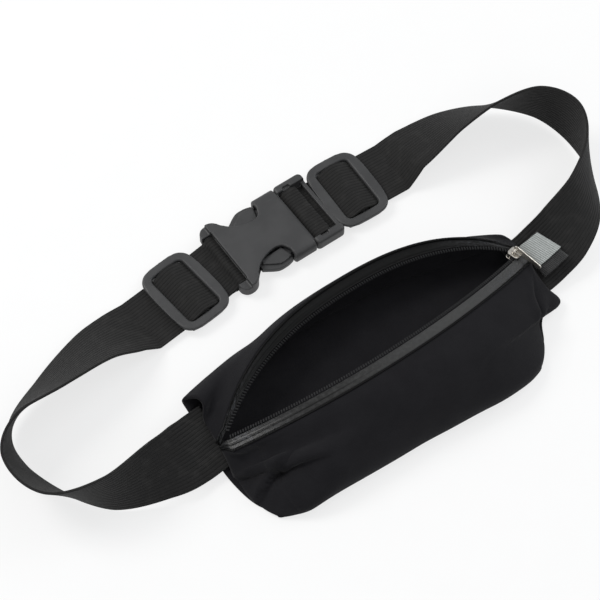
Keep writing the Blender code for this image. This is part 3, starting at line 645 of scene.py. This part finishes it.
def belt_route(stations, turn):
    """Centre points and side vectors of the curved belt. turn is the way in to the loop."""
    path = smooth_curve(stations, 24)
    centres = path[:, :3] * MM
    along = unit(np.gradient(centres, axis=0))
    inward = unit(np.stack([-along[:, 1], along[:, 0], 0 * along[:, 0]], axis=1)) * turn
    upward = np.cross(along, inward) * turn
    tilt = np.radians(path[:, 3:])
    return centres, inward * np.cos(tilt) + upward * np.sin(tilt)


def flat_route(*runs):
    """Centre points and side vectors of webbing through hardware: each run has its own frame."""
    centres, sides = [], []
    for matrix, profile in runs:
        centres += [matrix @ Vector((u, 0, z)) for u, z in profile]
        sides += [matrix.to_3x3() @ Vector((0, -1, 0))] * len(profile)
    return np.array(centres), np.array(sides)


def smooth_profile(points, steps=8):
    return [tuple(p) for p in smooth_curve(points, steps)]


def joined(*routes):
    return tuple(np.vstack(parts) for parts in zip(*routes))


def hump(name, place, body, node, finish):
    """Webbing over an adjuster's middle bar."""
    rise = [(-12.2 * MM, 3.3 * MM), (-10.6 * MM, 4.4 * MM), (-4.0 * MM, 7.6 * MM)]
    over = smooth_profile([*rise, (0, 8.7 * MM), *((-u, z) for u, z in reversed(rise))])
    route = flat_route((place, over))
    made = band(name, *route, STRAP_WIDTH, STRAP_THICKNESS, finish, step=0.8 * MM, pinch=0.1)
    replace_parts(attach(made, body), node)


def strap_return(name, place, facing, start, node, finish):
    """The layer that comes back under the belt to the adjuster, and wraps its middle bar."""
    loop = [(facing * u, z) for u, z in arc((0, GLIDE_BAR_LEVEL), 2.8 * MM, 270, 20, 24)]
    route = flat_route((BUCKLE_MATRIX, start), (place, loop))
    made = band(name, *route, STRAP_WIDTH - 0.4 * MM, STRAP_THICKNESS, finish, step=0.8 * MM)
    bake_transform(made)
    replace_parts(made, node)


def left_belt(finish):
    run = [(u * MM, RUN_LEVEL) for u in (-36, -29, -22, -14, -6, 2, 10, 18)]
    bar_u = SOCKET_BAR[0]
    wrap = 3.2 * MM
    lead = [(bar_u - 5 * MM, RUN_LEVEL), (bar_u - 3.7 * MM, 3.7 * MM), (bar_u - 2.8 * MM, 5.1 * MM)]
    round_bar = lead + arc(SOCKET_BAR, wrap, 140, -90, 28) + [(bar_u - 5 * MM, RETURN_LEVEL)]
    route = joined(
        belt_route(LEFT_ROUTE, -1),
        flat_route((LEFT_GLIDE_MATRIX, run), (BUCKLE_MATRIX, round_bar)),
    )
    made = band("left_webbing", *route, STRAP_WIDTH, STRAP_THICKNESS, finish)
    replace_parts(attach(made, "pouch"), "left_strap")
    hump("left_webbing_hump", LEFT_GLIDE_MATRIX, "left_adjuster", "left_strap", finish)
    strap_return(
        "left_webbing_return",
        LEFT_GLIDE_MATRIX,
        1,
        [(bar_u - 4 * MM, RETURN_LEVEL), (bar_u - 8 * MM, RETURN_LEVEL)],
        "left_strap",
        finish,
    )


def right_belt(finish):
    run = [(u * MM, RUN_LEVEL) for u in (35, 28, 22, 14, 6, -2, -10, -18)]
    bar_u, bar_z = PLUG_BAR
    wrap = 2.7 * MM
    climb = [(19.4, 3.1), (17.2, 3.15), (15.5, 3.8), (14.6, 5.2)]
    round_bar = smooth_profile([(u * MM, z * MM) for u, z in climb], 5)
    round_bar += arc((bar_u + PLUG_BAR_REACH, bar_z), wrap, 8, 90, 10)
    round_bar += arc((bar_u - PLUG_BAR_REACH, bar_z), wrap, 90, 270, 20)
    round_bar.append((bar_u + PLUG_BAR_REACH, RETURN_LEVEL))
    belt = belt_route(RIGHT_ROUTE, 1)
    route = joined(belt, flat_route((RIGHT_GLIDE_MATRIX, run), (BUCKLE_MATRIX, round_bar)))
    made = band("right_webbing", *route, STRAP_WIDTH, STRAP_THICKNESS, finish)
    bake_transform(made)
    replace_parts(made, "right_strap")
    hump("right_webbing_hump", RIGHT_GLIDE_MATRIX, "right_adjuster", "right_strap", finish)
    strap_return(
        "right_webbing_return",
        RIGHT_GLIDE_MATRIX,
        -1,
        [(bar_u + 2 * MM, RETURN_LEVEL), (bar_u + 8 * MM, RETURN_LEVEL)],
        "right_strap",
        finish,
    )
    return belt


def ribbon_loop(name, belt, width, offset, inset, lean, finish):
    """A folded ribbon sewn in the right end seam, lying on the belt. lean turns its fold."""
    centres, sides = belt
    low = STRAP_THICKNESS / 2 + 0.3 * MM + RIBBON / 2 + inset
    high = low + TAB_RISE - 2 * inset
    radius = (high - low) / 2
    length = TAB_LENGTH - inset
    fold = arc((length - radius, (low + high) / 2), radius, -90, 90, 16)
    lower = [(1.5 * MM, low), (length / 2, low)]
    crown = [(length / 2, high + 0.8 * MM), (length / 4, high + 0.6 * MM)]
    upper = smooth_profile([fold[-1], *crown, (1.5 * MM, high - 0.8 * MM)])
    seam = np.array(RIGHT_ROUTE[1][:3]) * MM
    reach = np.linalg.norm(centres - seam, axis=1) * np.sign(centres[:, 0] - seam[0])
    near = len(centres) // 2
    forward = unit(np.gradient(centres, axis=0))
    normals = unit(np.cross(forward, sides))
    places, across = [], []
    for u, z in [*lower, *fold, *upper[1:]]:
        spot, side, normal, ahead = (
            np.array([np.interp(u, reach[:near], axis[:near]) for axis in values.T])
            for values in (centres, sides, normals, forward)
        )
        places.append(spot + normal * z)
        across.append(unit(side - ahead * lean * u / length))
    made = band(name, places, across, width, RIBBON, finish, offset, 14, 0.5 * MM)
    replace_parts(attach(made, "pouch"), name)


# Buckle


def waist_outline():
    """The socket's hourglass plates, from inside the ring to the ears."""
    waist = [
        (-15.2, -5.0),
        (-16.6, -8.5),
        (-19.0, -12.4),
        (-24.0, -13.6),
        (-31.0, -12.2),
        (-37.0, -9.4),
        (-41.5, -5.2),
        (-45.0, -0.6),
        (-49.0, 1.2),
        (-53.5, 0.8),
        (-56.4, -2.0),
        (-57.0, -5.2),
    ]
    edge = [(-6 * MM, BUCKLE_HALF - 6 * MM)]
    edge += [(u * MM, BUCKLE_HALF + inset * MM) for u, inset in smooth_curve(waist, 4)]
    return edge + [(u, -v) for u, v in reversed(edge)]


def buckle_socket(finish):
    ring = rounded_rectangle(-BUCKLE_HALF, BUCKLE_HALF, BUCKLE_BASE, BUCKLE_TOP, 4.2 * MM)
    cavity_half = BUCKLE_HALF - BUCKLE_WALL - 1.2 * MM
    end = SOCKET_BAR[0] - 10 * MM
    steps = [
        ("UNION", outlined(ring, -16 * MM, 0, 0.7 * MM, lay=END_ON)),
        (
            "DIFFERENCE",
            outlined(
                rectangle(-42 * MM, 5 * MM, cavity_half),
                BUCKLE_BASE + BUCKLE_WALL,
                BUCKLE_TOP - BUCKLE_WALL,
            ),
        ),
        ("DIFFERENCE", outlined(rectangle(end, -48.3 * MM, BAY_HALF), -5 * MM, 8.7 * MM)),
        ("DIFFERENCE", outlined(rectangle(end, -50 * MM, BAY_HALF), 0, CUT_TOP)),
        ("DIFFERENCE", outlined(rectangle(end, -50.6 * MM, 40 * MM), 9.0 * MM, CUT_TOP)),
        ("UNION", cross_bar(arc(SOCKET_BAR, 2 * MM, 0, 345, 24), BAY_HALF + 2 * MM)),
    ]
    plates = outlined(waist_outline(), BUCKLE_BASE, BUCKLE_TOP, 0.8 * MM)
    made = moulded("socket_body", plates, steps, BUCKLE_MATRIX, 0.5 * MM, finish)
    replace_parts(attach(made, "pouch"), "buckle_socket")


def buckle_plug(finish):
    low, high = BUCKLE_BASE + 0.3 * MM, BUCKLE_TOP - 0.9 * MM
    rails = rounded_rectangle(0.6 * MM, PLUG_LENGTH, -BUCKLE_HALF, BUCKLE_HALF, 3 * MM)
    inner_end = PLUG_LENGTH - 3 * MM
    bar_u, bar_z = PLUG_BAR
    reach = PLUG_BAR_REACH
    oval = arc((bar_u + reach, bar_z), 1.5 * MM, -90, 90, 12)
    oval += arc((bar_u - reach, bar_z), 1.5 * MM, 90, 270, 12)
    under = rectangle(inner_end - MM, PLUG_LENGTH + 5 * MM, BAY_HALF)
    base_half = BUCKLE_HALF - BUCKLE_WALL - 1.5 * MM
    tongue = [(u * MM, v * MM) for u, v in ((-36, -1.6), (-6, -3.2), (-6, 3.2), (-36, 1.6))]
    base_low, base_high = 3.5 * MM, 9.1 * MM
    steps = [
        ("DIFFERENCE", outlined(rectangle(-5 * MM, inner_end, BAY_HALF), -5 * MM, CUT_TOP)),
        ("DIFFERENCE", outlined(under, -5 * MM, GLIDE_BASE)),
        ("DIFFERENCE", outlined(under, GLIDE_TOP, CUT_TOP)),
        ("UNION", cross_bar(oval, BAY_HALF + 2 * MM)),
        ("UNION", outlined(rectangle(-8 * MM, 1.6 * MM, base_half), base_low, base_high, 0.5 * MM)),
        ("UNION", outlined(tongue, base_low + 0.8 * MM, base_high - 0.8 * MM, 0.5 * MM)),
    ]
    for sign in (1, -1):
        pivot = (ARM_PIVOT[0], sign * ARM_PIVOT[1])
        steps.append(("DIFFERENCE", outlined(arc(pivot, 2.5 * MM, 0, 345, 24), 0, CUT_TOP)))
        notch = [(u * MM, sign * v * MM) for u, v in ((6, 19), (11.5, 19), (11.5, 22.4), (6, 22.4))]
        steps.append(("DIFFERENCE", outlined(notch, 8.6 * MM, CUT_TOP)))
    frame_solid = outlined(rails, low, high, 1.9 * MM)
    made = moulded("plug_body", frame_solid, steps, BUCKLE_MATRIX, 0.45 * MM, finish)
    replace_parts(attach(made, "buckle_plug"), "buckle_plug")


def release_arm(node, sign, finish):
    """A sprung arm: a round root in the plug's base, a stem and a curved button."""
    half = BUCKLE_HALF
    u, v = ARM_PIVOT
    start, end = -17 * MM, -38 * MM
    outer = [
        (end, half - 6.8 * MM),
        (start - 12 * MM, half - 1.4 * MM),
        (start - 5 * MM, half - 1.0 * MM),
        (start, half - 2.2 * MM),
    ]
    stem = 1.8 * MM
    root = arc(ARM_PIVOT, 2.2 * MM, 125, -90, 16)
    root += [(u - 4 * MM, v - stem), (start - 4 * MM, half - 13.4 * MM)]
    inner = [(end + 0.6 * MM, half - 12 * MM)]
    shoulder = [(start + 0.3 * MM, half - 6.2 * MM), (u - 4 * MM, v + stem)]
    outline = [(a, sign * b) for a, b in root + inner + smooth_profile(outer, 6) + shoulder]
    rim = 2.3 * MM
    crown = [(a + rim, b) for a, b in inner]
    crown += [(a + rim * (a < start - 10 * MM), b - rim) for a, b in smooth_profile(outer, 6)]
    crown += [(start - rim, half - 13 * MM)]
    crown = [(a, sign * b) for a, b in crown]
    middle = (BUCKLE_BASE + BUCKLE_TOP) / 2
    solid = outlined(outline, middle - 2.5 * MM, middle + 0.9 * MM)
    raised = [("UNION", outlined(crown, middle, middle + 2.5 * MM))]
    made = moulded(node + "_body", solid, raised, BUCKLE_MATRIX, 0.32 * MM, finish, 5)
    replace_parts(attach(made, node), node)


def adjuster(node, place, finish):
    """A three-bar slide: a rounded frame whose window is bevelled, with a low middle bar."""
    length, width = GLIDE_HALF_LENGTH, GLIDE_HALF_WIDTH
    inner, flare = length - GLIDE_END_BAR, 0.9 * MM
    window, wide = (
        rounded_rectangle(
            -inner - more, inner + more, -BAY_HALF - more, BAY_HALF + more, WINDOW_CORNER + more
        )
        for more in (0, flare)
    )
    steps = [
        ("DIFFERENCE", outlined(window, 0, CUT_TOP)),
        ("DIFFERENCE", outlined(window, GLIDE_TOP - flare, GLIDE_TOP + 0.1 * MM, top=wide)),
        ("UNION", cross_bar(arc((0, GLIDE_BAR_LEVEL), 1.6 * MM, 0, 345, 24), BAY_HALF + 2.5 * MM)),
    ]
    for sign in (1, -1):
        sides = sorted((sign * (BAY_HALF + 0.3 * MM), sign * (width - 1.5 * MM)))
        rail = rounded_rectangle(-length + 4.3 * MM, length - 4.3 * MM, *sides, 1.5 * MM)
        steps.append(("UNION", outlined(rail, GLIDE_BASE - 2.8 * MM, GLIDE_BASE + MM, 0.6 * MM)))
    outline = [
        (
            u + math.copysign(1.5 * MM, u) * (1 - (v / width) ** 2),
            v + math.copysign(MM, v) * (1 - (u / length) ** 2),
        )
        for u, v in rounded_rectangle(-length, length, -width, width, GLIDE_CORNER, 12, 10)
    ]
    body = outlined(outline, GLIDE_BASE, GLIDE_TOP, 1.3 * MM)
    made = moulded(node + "_frame", body, steps, place, 0.4 * MM, finish)
    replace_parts(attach(made, node), node)


# Zip and pouch

ZIP_CHORD = (ZIP_RIGHT_END - ZIP_LEFT_END).normalized()
ZIP_HALF = (ZIP_RIGHT_END - ZIP_LEFT_END).length / 2
ZIP_OUT = Vector((0, -math.cos(ZIP_BOW_ANGLE), math.sin(ZIP_BOW_ANGLE)))
ZIP_OUT = (ZIP_OUT - ZIP_CHORD * ZIP_OUT.dot(ZIP_CHORD)).normalized()
ZIP_RADIUS = (ZIP_HALF**2 + ZIP_BOW**2) / (2 * ZIP_BOW)
ZIP_CENTRE = (ZIP_RIGHT_END + ZIP_LEFT_END) / 2 + ZIP_OUT * (ZIP_BOW - ZIP_RADIUS)
ZIP_AXIS = ZIP_OUT.cross(ZIP_CHORD).normalized()
ZIP_SWEEP = math.asin(ZIP_HALF / ZIP_RADIUS)
ZIP_FACE = Vector((0, -1, 0)) - ZIP_CHORD * Vector((0, -1, 0)).dot(ZIP_CHORD)
ZIP_FACE.normalize()


def zip_turn(angle):
    """The turn about the zip's axis from its middle to an angle along it."""
    return Matrix.Rotation(angle, 3, ZIP_AXIS)


def front_chain(angle):
    return ZIP_CENTRE + zip_turn(angle) @ (ZIP_OUT * ZIP_RADIUS)


def front_side(angle):
    """The way across the front tape, from the teeth to the stitched edge."""
    return zip_turn(angle) @ ZIP_FACE


def rear_chain(angle):
    share = max(1 - abs(angle / ZIP_SWEEP) ** 2.2, 0)
    spread = Vector((0, MOUTH_WIDTH, -MOUTH_DROP * share)) * share
    return front_chain(angle) + spread - front_side(angle) * (CHAIN_WIDTH + 0.6 * MM)


def rear_side(angle):
    """The way across the rear tape: it lies flat at the zip's ends and hangs in the open mouth."""
    hang = max(1 - (angle / ZIP_SWEEP) ** 4, 0)
    return Vector((0, 1 - 0.25 * hang, 0.05 + 0.55 * hang)).normalized()


def seam_point(point, end, level):
    """A point on an end seam: level is 1 above the webbing, 0 at a fold and -1 below it."""
    x, y = point
    _, y0, z0, tilt = (LEFT_ROUTE if end < 0 else RIGHT_ROUTE)[1]
    height = max(3.6, z0 + (y - y0) * math.tan(math.radians(tilt))) * MM
    return Vector((x * MM, y * MM, max(height + level * SEAM_LIFT, CLOTH / 2)))


def swell(left, middle, right, share, flat, rounding):
    """A point of a pouch section, between the end seams and the full middle section."""
    place = 2 * share - 1
    end = left if place < 0 else right
    full = Vector((0, middle[0] * MM, middle[1] * MM))
    weight = 1 - abs(place) ** rounding
    x = left.x + (right.x - left.x) * share
    y = end.y + (full.y - end.y) * weight
    if flat:
        weight = 1 - max(0, (abs(place) - FLAT_BACK_SHARE) / (1 - FLAT_BACK_SHARE)) ** 2
    z = end.z + (full.z - end.z) * weight
    return Vector((x, y, z))


def zip_angle(share):
    return (2 * (share - ZIP_START_SHARE) / (ZIP_END_SHARE - ZIP_START_SHARE) - 1) * ZIP_SWEEP


def to_seam(share, line, shift):
    """A lengthwise line of the zip, run on from the zip's ends and down into the end seams."""
    if ZIP_START_SHARE <= share <= ZIP_END_SHARE:
        return line(zip_angle(share))
    if share < 0.5:
        end, seam, way = -1, LEFT_SEAM, 1 - share / ZIP_START_SHARE
    else:
        end, seam, way = 1, RIGHT_SEAM, (share - ZIP_END_SHARE) / (1 - ZIP_END_SHARE)
    start = line(end * ZIP_SWEEP)
    stop = seam_point(seam, end, 1) + Vector((0, shift, 0))
    point = start.lerp(stop, way)
    point.z = start.z + (stop.z - start.z) * way**2
    return point


def front_edge(share):
    return to_seam(share, lambda a: front_chain(a) + front_side(a) * TAPE_WIDTH, -2.4 * MM)


def front_inner_edge(share):
    return to_seam(share, lambda a: front_chain(a) + front_side(a) * TAPE_INSET, -0.3 * MM)


def rear_edge(share):
    """The rear tape narrows towards its ends, where the mouth closes."""

    def line(angle):
        width = TAPE_WIDTH * (1 - 0.6 * abs(angle / ZIP_SWEEP) ** 3)
        return rear_chain(angle) + rear_side(angle) * width

    return to_seam(share, line, 2.4 * MM)


def rear_inner_edge(share):
    return to_seam(share, lambda a: rear_chain(a) + rear_side(a) * TAPE_INSET, 0.3 * MM)


def section_line(points, level, rounding=POUCH_ROUNDING, lift=0):
    """A lengthwise line of the pouch from its end and middle points. lift raises the right end."""
    left, middle, right = points
    a, b = seam_point(left, -1, level), seam_point(right, 1, level + lift)
    return lambda share: swell(a, middle, b, share, level < 0, rounding)


def pouch_stations(count):
    """Shares of the pouch's length, closer together at the ends where the zip stops."""
    start = np.linspace(0, ZIP_START_SHARE, 8)[:-1]
    end = np.linspace(ZIP_END_SHARE, 1, 6)[1:]
    return [*start, *np.linspace(ZIP_START_SHARE, ZIP_END_SHARE, count), *end]


def panel(lines, before=None, after=None, lap=0.0):
    """Rows of a pouch panel through lengthwise lines. before and after set its end slopes."""
    rows = []
    for share in pouch_stations(PANEL_ROWS):
        ends = [line(share) if line else None for line in (before, after)]
        row = smooth_curve([line(share) for line in lines], PANEL_STEPS, *ends)
        row[:, 2] = np.maximum(row[:, 2], CLOTH / 2)
        row[0] += unit(row[0] - row[1]) * lap
        row[-1] += unit(row[-1] - row[-2]) * lap
        rows.append(row)
    return np.array(rows)


def creased(points, dents, folds, outward):
    """Pushes dents and folds into a panel."""
    normals = unit(np.cross(np.gradient(points, axis=0), np.gradient(points, axis=1))) * outward
    spots = np.stack([distances(points, 0), distances(points, 1)], axis=2)
    stations = np.array(pouch_stations(PANEL_ROWS))
    push = np.zeros(points.shape[:2])
    for *places, first, last, width in dents + folds:
        columns = points.shape[1] - 1
        start, end = (spots[np.abs(stations - a).argmin(), round(b * columns)] for a, b in places)
        line, reach = end - start, spots - start
        t = np.clip((reach @ line) / (line @ line), 0, 1)
        gap = np.linalg.norm(reach - t[..., None] * line, axis=2)
        shape = np.exp(-((gap / (width * MM)) ** 2))
        if (*places, first, last, width) in folds:
            beside = line[0] * reach[..., 1] - line[1] * reach[..., 0]
            shape = shape * np.tanh(beside / np.linalg.norm(line) / FOLD_ROUNDING)
        push += (first + (last - first) * t) * shape
    points = points + normals * (push * MM)[..., None]
    points[..., 2] = np.maximum(points[..., 2], CLOTH / 2)
    return points


def declared(points):
    """Works out the sizes of a panel's flat cut, its cell areas and its longest and widest runs,
    but neither returns nor keeps them.
    """
    cells = np.linalg.norm(
        np.cross(points[1:, :-1] - points[:-1, :-1], points[:-1, 1:] - points[:-1, :-1]), axis=2
    )
    length = np.ptp(distances(points, 0), axis=0).max()
    width = np.ptp(distances(points, 1), axis=1).max()


def pouch(finish):
    rounding = [POUCH_ROUNDING] * 3 + [BOTTOM_ROUNDING] * 3
    front = [
        section_line(points, *rest)
        for *points, rest in zip(FRONT_LEFT, FRONT_MIDDLE, FRONT_RIGHT, zip(FRONT_LEVELS, rounding))
    ]
    lip = rear_edge(0.5).y / MM
    top_middle = [(lip + y, z) for y, z in TOP_MIDDLE]
    top = [
        section_line(points, level)
        for *points, level in zip(TOP_LEFT, top_middle, TOP_RIGHT, TOP_LEVELS)
    ]
    back = [
        section_line(points, -1, lift=lift)
        for *points, lift in zip(BACK_LEFT, BACK_MIDDLE, BACK_RIGHT, BACK_RIGHT_LIFT)
    ]
    panels = {
        "pouch_front_panel": creased(
            panel([front_edge, *front], front_inner_edge, back[-1]), FRONT_DENTS, FRONT_FOLDS, -1
        ),
        "pouch_top_panel": creased(
            panel([rear_edge, *top], rear_inner_edge, back[0]), TOP_DENTS, [], 1
        ),
        "pouch_back_panel": panel([top[-1], *back, front[-1]], lap=SEAM_LAP),
    }
    for node, points in panels.items():
        made = cloth(node.replace("panel", "cloth"), points, CLOTH, finish, 0.7)
        declared(points)
        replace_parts(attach(made, "pouch"), node)


def zip_tape(node, inner, outer, lift, finish):
    """A strip of coated tape with a low ridge over the teeth and a groove beside it."""
    across = np.linspace(0, 1.12, TAPE_COLUMNS)
    stations = pouch_stations(TAPE_ROWS)
    points = np.array([[inner(a).lerp(outer(a), b) for b in across] for a in stations])
    normals = unit(np.cross(np.gradient(points, axis=0), np.gradient(points, axis=1))) * lift
    ridge = 0.35 * np.exp(-(((across - 0.12) / 0.12) ** 2))
    groove = -0.4 * np.exp(-(((across - 0.5) / 0.05) ** 2))
    tuck = -1.3 * np.clip((across - 0.92) / 0.08, 0, 1)
    left = np.clip(np.linspace(2, -2, len(points)), 0, 1)[:, None]
    points = points + normals * ((ridge + groove * left + tuck) * MM)[..., None]
    made = cloth(node + "_film", points, TAPE_THICKNESS * 0.8, finish, 0.6)
    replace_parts(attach(made, "pouch"), node)


def zip_teeth(node, line, side, finish):
    """A row of coil teeth, each a small rounded block that reaches into the mouth."""
    count = int(2 * ZIP_SWEEP * ZIP_RADIUS / TOOTH_PITCH)
    bm = bmesh.new()
    for i in range(count + 1):
        angle = (2 * i / count - 1) * ZIP_SWEEP * 0.985
        across = side(angle)
        along = (line(angle + 0.001) - line(angle - 0.001)).normalized()
        up = along.cross(across).normalized()
        across = up.cross(along)
        place = Matrix((along, across, up)).transposed().to_4x4()
        place = Matrix.Translation(line(angle)) @ place @ Matrix.Rotation(0.25, 4, "Z")
        size = Matrix.Diagonal((TOOTH_PITCH * 0.6, CHAIN_WIDTH, CHAIN_HEIGHT * 0.55, 1))
        tooth = bmesh.ops.create_cube(bm, size=1, matrix=place @ size)["verts"]
        bevelled(bm, list({e for v in tooth for e in v.link_edges}), 0.32 * MM, 2)
    made = new_object(node + "_coil", mesh_of(bm, node), finish)
    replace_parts(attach(made, "pouch"), node)


def seam_stitches(name, edge, inner, lift, finish):
    """Short threads over the seam between a zip tape and its panel."""
    yarn = 0.22 * MM
    bm = bmesh.new()
    for i in range(STITCHES):
        share = 0.02 + 0.96 * (i + 0.5) / STITCHES
        here, ahead = edge(share), edge(share + 0.004)
        along = (ahead - here).normalized()
        across = (here - inner(share)).normalized()
        up = along.cross(across).normalized() * lift
        way = (across + along * (0.5 if i % 2 else -0.5)).normalized()
        turn = way.to_track_quat("Z", "Y").to_matrix().to_4x4()
        place = Matrix.Translation(here + up * 0.75 * MM) @ turn
        bmesh.ops.create_cone(
            bm, segments=6, radius1=yarn, radius2=yarn, depth=2.2 * MM, cap_ends=True, matrix=place
        )
    made = new_object(name, mesh_of(bm, name), finish)
    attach(made, "pouch")


def zip_slider(finish):
    """A cast slider at the zip's right end, and the frame of its pull."""
    length, width, plate_height = 9 * MM, 8 * MM, 0.9 * MM
    angle = ZIP_SWEEP - SLIDER_STOP / ZIP_RADIUS
    turn = zip_turn(angle)
    across, along = -(turn @ ZIP_FACE), turn @ ZIP_CHORD
    up = along.cross(across)
    middle = front_chain(angle) + across * (CHAIN_WIDTH / 2 + 0.3 * MM)
    place = Matrix.Translation(middle) @ Matrix((along, across, up)).transposed().to_4x4()
    half, inside = length / 2, CHAIN_HEIGHT / 2 + 0.3 * MM
    outside = inside + plate_height
    plate = rounded_rectangle(-half, half, -width / 2, width / 2, 2.4 * MM)
    top, wire = outside + 3.4 * MM, 1.2 * MM
    reach, drop = half - 1.6 * MM, outside - plate_height / 2
    inner, under = reach - wire, top - wire
    arch = [(-reach, drop), (-reach, top - 1.4 * MM), (-reach + 1.4 * MM, top)]
    arch += [(reach - 1.4 * MM, top), (reach, top - 1.4 * MM), (reach, drop)]
    arch += [(inner, drop), (inner, under), (-inner, under), (-inner, drop)]
    post = arc((-half + 1.4 * MM, 0.9 * MM), 0.55 * MM, 0, 330, 12)
    steps = [
        ("UNION", outlined(plate, -outside, -inside, 0.25 * MM)),
        ("UNION", outlined(post, -outside + 0.4 * MM, outside - 0.4 * MM)),
        ("UNION", cross_bar(arch, wire / 2)),
    ]
    body = outlined(plate, inside, outside, 0.25 * MM)
    made = moulded("slider_body", body, steps, place, 0.13 * MM, finish, 3)
    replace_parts(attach(made, "zip_slider"), "zip_slider")
    return place @ Matrix.Translation((0, 0, top - wire / 2))


def zip_pull(finish, place):
    """A flat pull whose eye goes round the slider's bridge, fallen over to the front."""
    half, length = 2 * MM, 19 * MM
    outline = arc((0, 0), half, 0, 180, 16)
    outline += [(-half * 0.7, -length + MM), (-half * 0.4, -length)]
    outline += [(half * 0.4, -length), (half * 0.7, -length + MM)]
    eye = outlined(arc((0, 0), 1.2 * MM, 0, 345, 24), -5 * MM, 5 * MM)
    lay = Matrix(((0, 0, 1, 0), (0, 1, 0, 0), (-1, 0, 0, 0), (0, 0, 0, 1)))
    lay = Matrix.Rotation(math.radians(5), 4, "X") @ lay
    solid = outlined(outline, -0.5 * MM, 0.5 * MM, 0.2 * MM)
    made = moulded(
        "pull_plate", solid, [("DIFFERENCE", eye)], place @ lay, 0.12 * MM, finish, 2
    )
    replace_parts(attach(made, "zip_pull"), "zip_pull")


# Stage


def stage():
    """White table, soft light from above and behind, and the camera."""
    scene = bpy.context.scene
    bm = bmesh.new()
    bmesh.ops.create_grid(bm, x_segments=1, y_segments=1, size=3)
    bmesh.ops.translate(bm, vec=(0, 0, -0.4 * MM), verts=bm.verts)
    f = Finish("white table", Roughness=0.9)
    grain = f.noise(f.place(), 40, 3)
    f.give(Base_Color=f.mix(grain, (0.82, 0.82, 0.82), (0.86, 0.86, 0.86)))
    f.give(Emission_Color=(1, 1, 1, 1))
    paths = f.node("ShaderNodeLightPath")
    outputs = paths.socket.node.outputs
    mirrored = [Value(f, outputs[name]) for name in ("Is Glossy Ray", "Is Transmission Ray")]
    seen = sum(mirrored, paths)
    glow = f.node("ShaderNodeEmission", sockets={"Color": (1, 1, 1, 1), "Strength": 1.0})
    shown = f.node(
        "ShaderNodeMixShader",
        sockets={0: seen * 0.72, 1: Value(f, f.shader.outputs[0]), 2: glow},
    )
    f.tree.links.new(shown.socket, f.tree.nodes["Material Output"].inputs["Surface"])
    new_object("table", mesh_of(bm, "table"), f.material)

    world = scene.world or bpy.data.worlds.new("studio")
    scene.world = world
    world.use_nodes = True
    nodes, links = world.node_tree.nodes, world.node_tree.links
    nodes.clear()
    path = nodes.new("ShaderNodeLightPath")
    lamp, backdrop = nodes.new("ShaderNodeBackground"), nodes.new("ShaderNodeBackground")
    lamp.inputs["Color"].default_value = (0.96, 0.98, 1, 1)
    lamp.inputs["Strength"].default_value = 0.55
    backdrop.inputs["Color"].default_value = (1, 1, 1, 1)
    choice, out = nodes.new("ShaderNodeMixShader"), nodes.new("ShaderNodeOutputWorld")
    links.new(path.outputs["Is Camera Ray"], choice.inputs[0])
    links.new(lamp.outputs[0], choice.inputs[1])
    links.new(backdrop.outputs[0], choice.inputs[2])
    links.new(choice.outputs[0], out.inputs["Surface"])

    lamps = [
        ("softbox_back_left", (-0.75, 0.95, 1.35), 0.7, 17.0, (1, 0.99, 0.97)),
        ("softbox_front", (-0.3, -1.2, 1.5), 0.9, 4.5, (1, 1, 1)),
        ("softbox_right", (1.3, 0.1, 1.0), 0.8, 7.0, (0.96, 0.98, 1)),
    ]
    for name, spot, size, power, colour in lamps:
        light = bpy.data.lights.new(name, "AREA")
        light.size, light.energy, light.color = size, power, colour
        made = bpy.data.objects.new(name, light)
        scene.collection.objects.link(made)
        made.location = spot
        aim = Vector((0, 0.04, 0)) - Vector(spot)
        made.rotation_euler = aim.to_track_quat("-Z", "Y").to_euler()

    lens = bpy.data.cameras.new("camera")
    lens.sensor_width, lens.lens = 36, 108.9
    camera = bpy.data.objects.new("camera", lens)
    scene.collection.objects.link(camera)
    camera.location = (-0.3073, -0.4226, 0.9844)
    aim = Vector((-0.0199, 0.0463, 0.0318)) - camera.location
    camera.rotation_euler = aim.to_track_quat("-Z", "Y").to_euler()
    scene.camera = camera
    scene.view_settings.view_transform = "Standard"


stage()
webbing = webbing_finish()
stretch_cloth = cloth_finish()
# painted light: the front tape is painted paler towards the right as sheen; the rear tape, standing
# up and facing away from the light, is a darker painted-shade copy of the same tape
front_film = film_finish("front zip tape", 0.015, 0.047)
rear_film = film_finish("rear zip tape", 0.010, 0.008)
coil = teeth_finish()
plastic = plastic_finish()
nickel = nickel_finish()
thread = thread_finish()
grey_ribbon = ribbon_finish(
    "reflective ribbon", (0.2, 0.21, 0.205), (0.37, 0.39, 0.38), (0.42, 0.44, 0.43), 1.3 * MM, 0.45
)
black_ribbon = ribbon_finish(
    "black ribbon", (0.008,) * 3, (0.026,) * 3, (0.04,) * 3, 1.1 * MM, 0.65
)

left_belt(webbing)
belt = right_belt(webbing)
ribbon_loop("reflective_tab", belt, 17.5 * MM, 4.5 * MM, 0, 0.22, grey_ribbon)
ribbon_loop("loop_ribbon", belt, 25 * MM, MM, RIBBON + 0.3 * MM, 0.12, black_ribbon)

buckle_socket(plastic)
buckle_plug(plastic)
release_arm("release_arm_far", 1, plastic)
release_arm("release_arm_near", -1, plastic)
adjuster("left_adjuster", LEFT_GLIDE_MATRIX, plastic)
adjuster("right_adjuster", RIGHT_GLIDE_MATRIX, plastic)

pouch(stretch_cloth)
zip_tape("zip_tape_front", front_inner_edge, front_edge, 1, front_film)
zip_tape("zip_tape_rear", rear_inner_edge, rear_edge, -1, rear_film)
zip_teeth("zip_teeth_front", front_chain, front_side, coil)
zip_teeth("zip_teeth_rear", rear_chain, rear_side, coil)
seam_stitches("zip_stitching_front", front_edge, front_inner_edge, 1, thread)
seam_stitches("zip_stitching_rear", rear_edge, rear_inner_edge, -1, thread)
zip_pull(nickel, zip_slider(nickel))
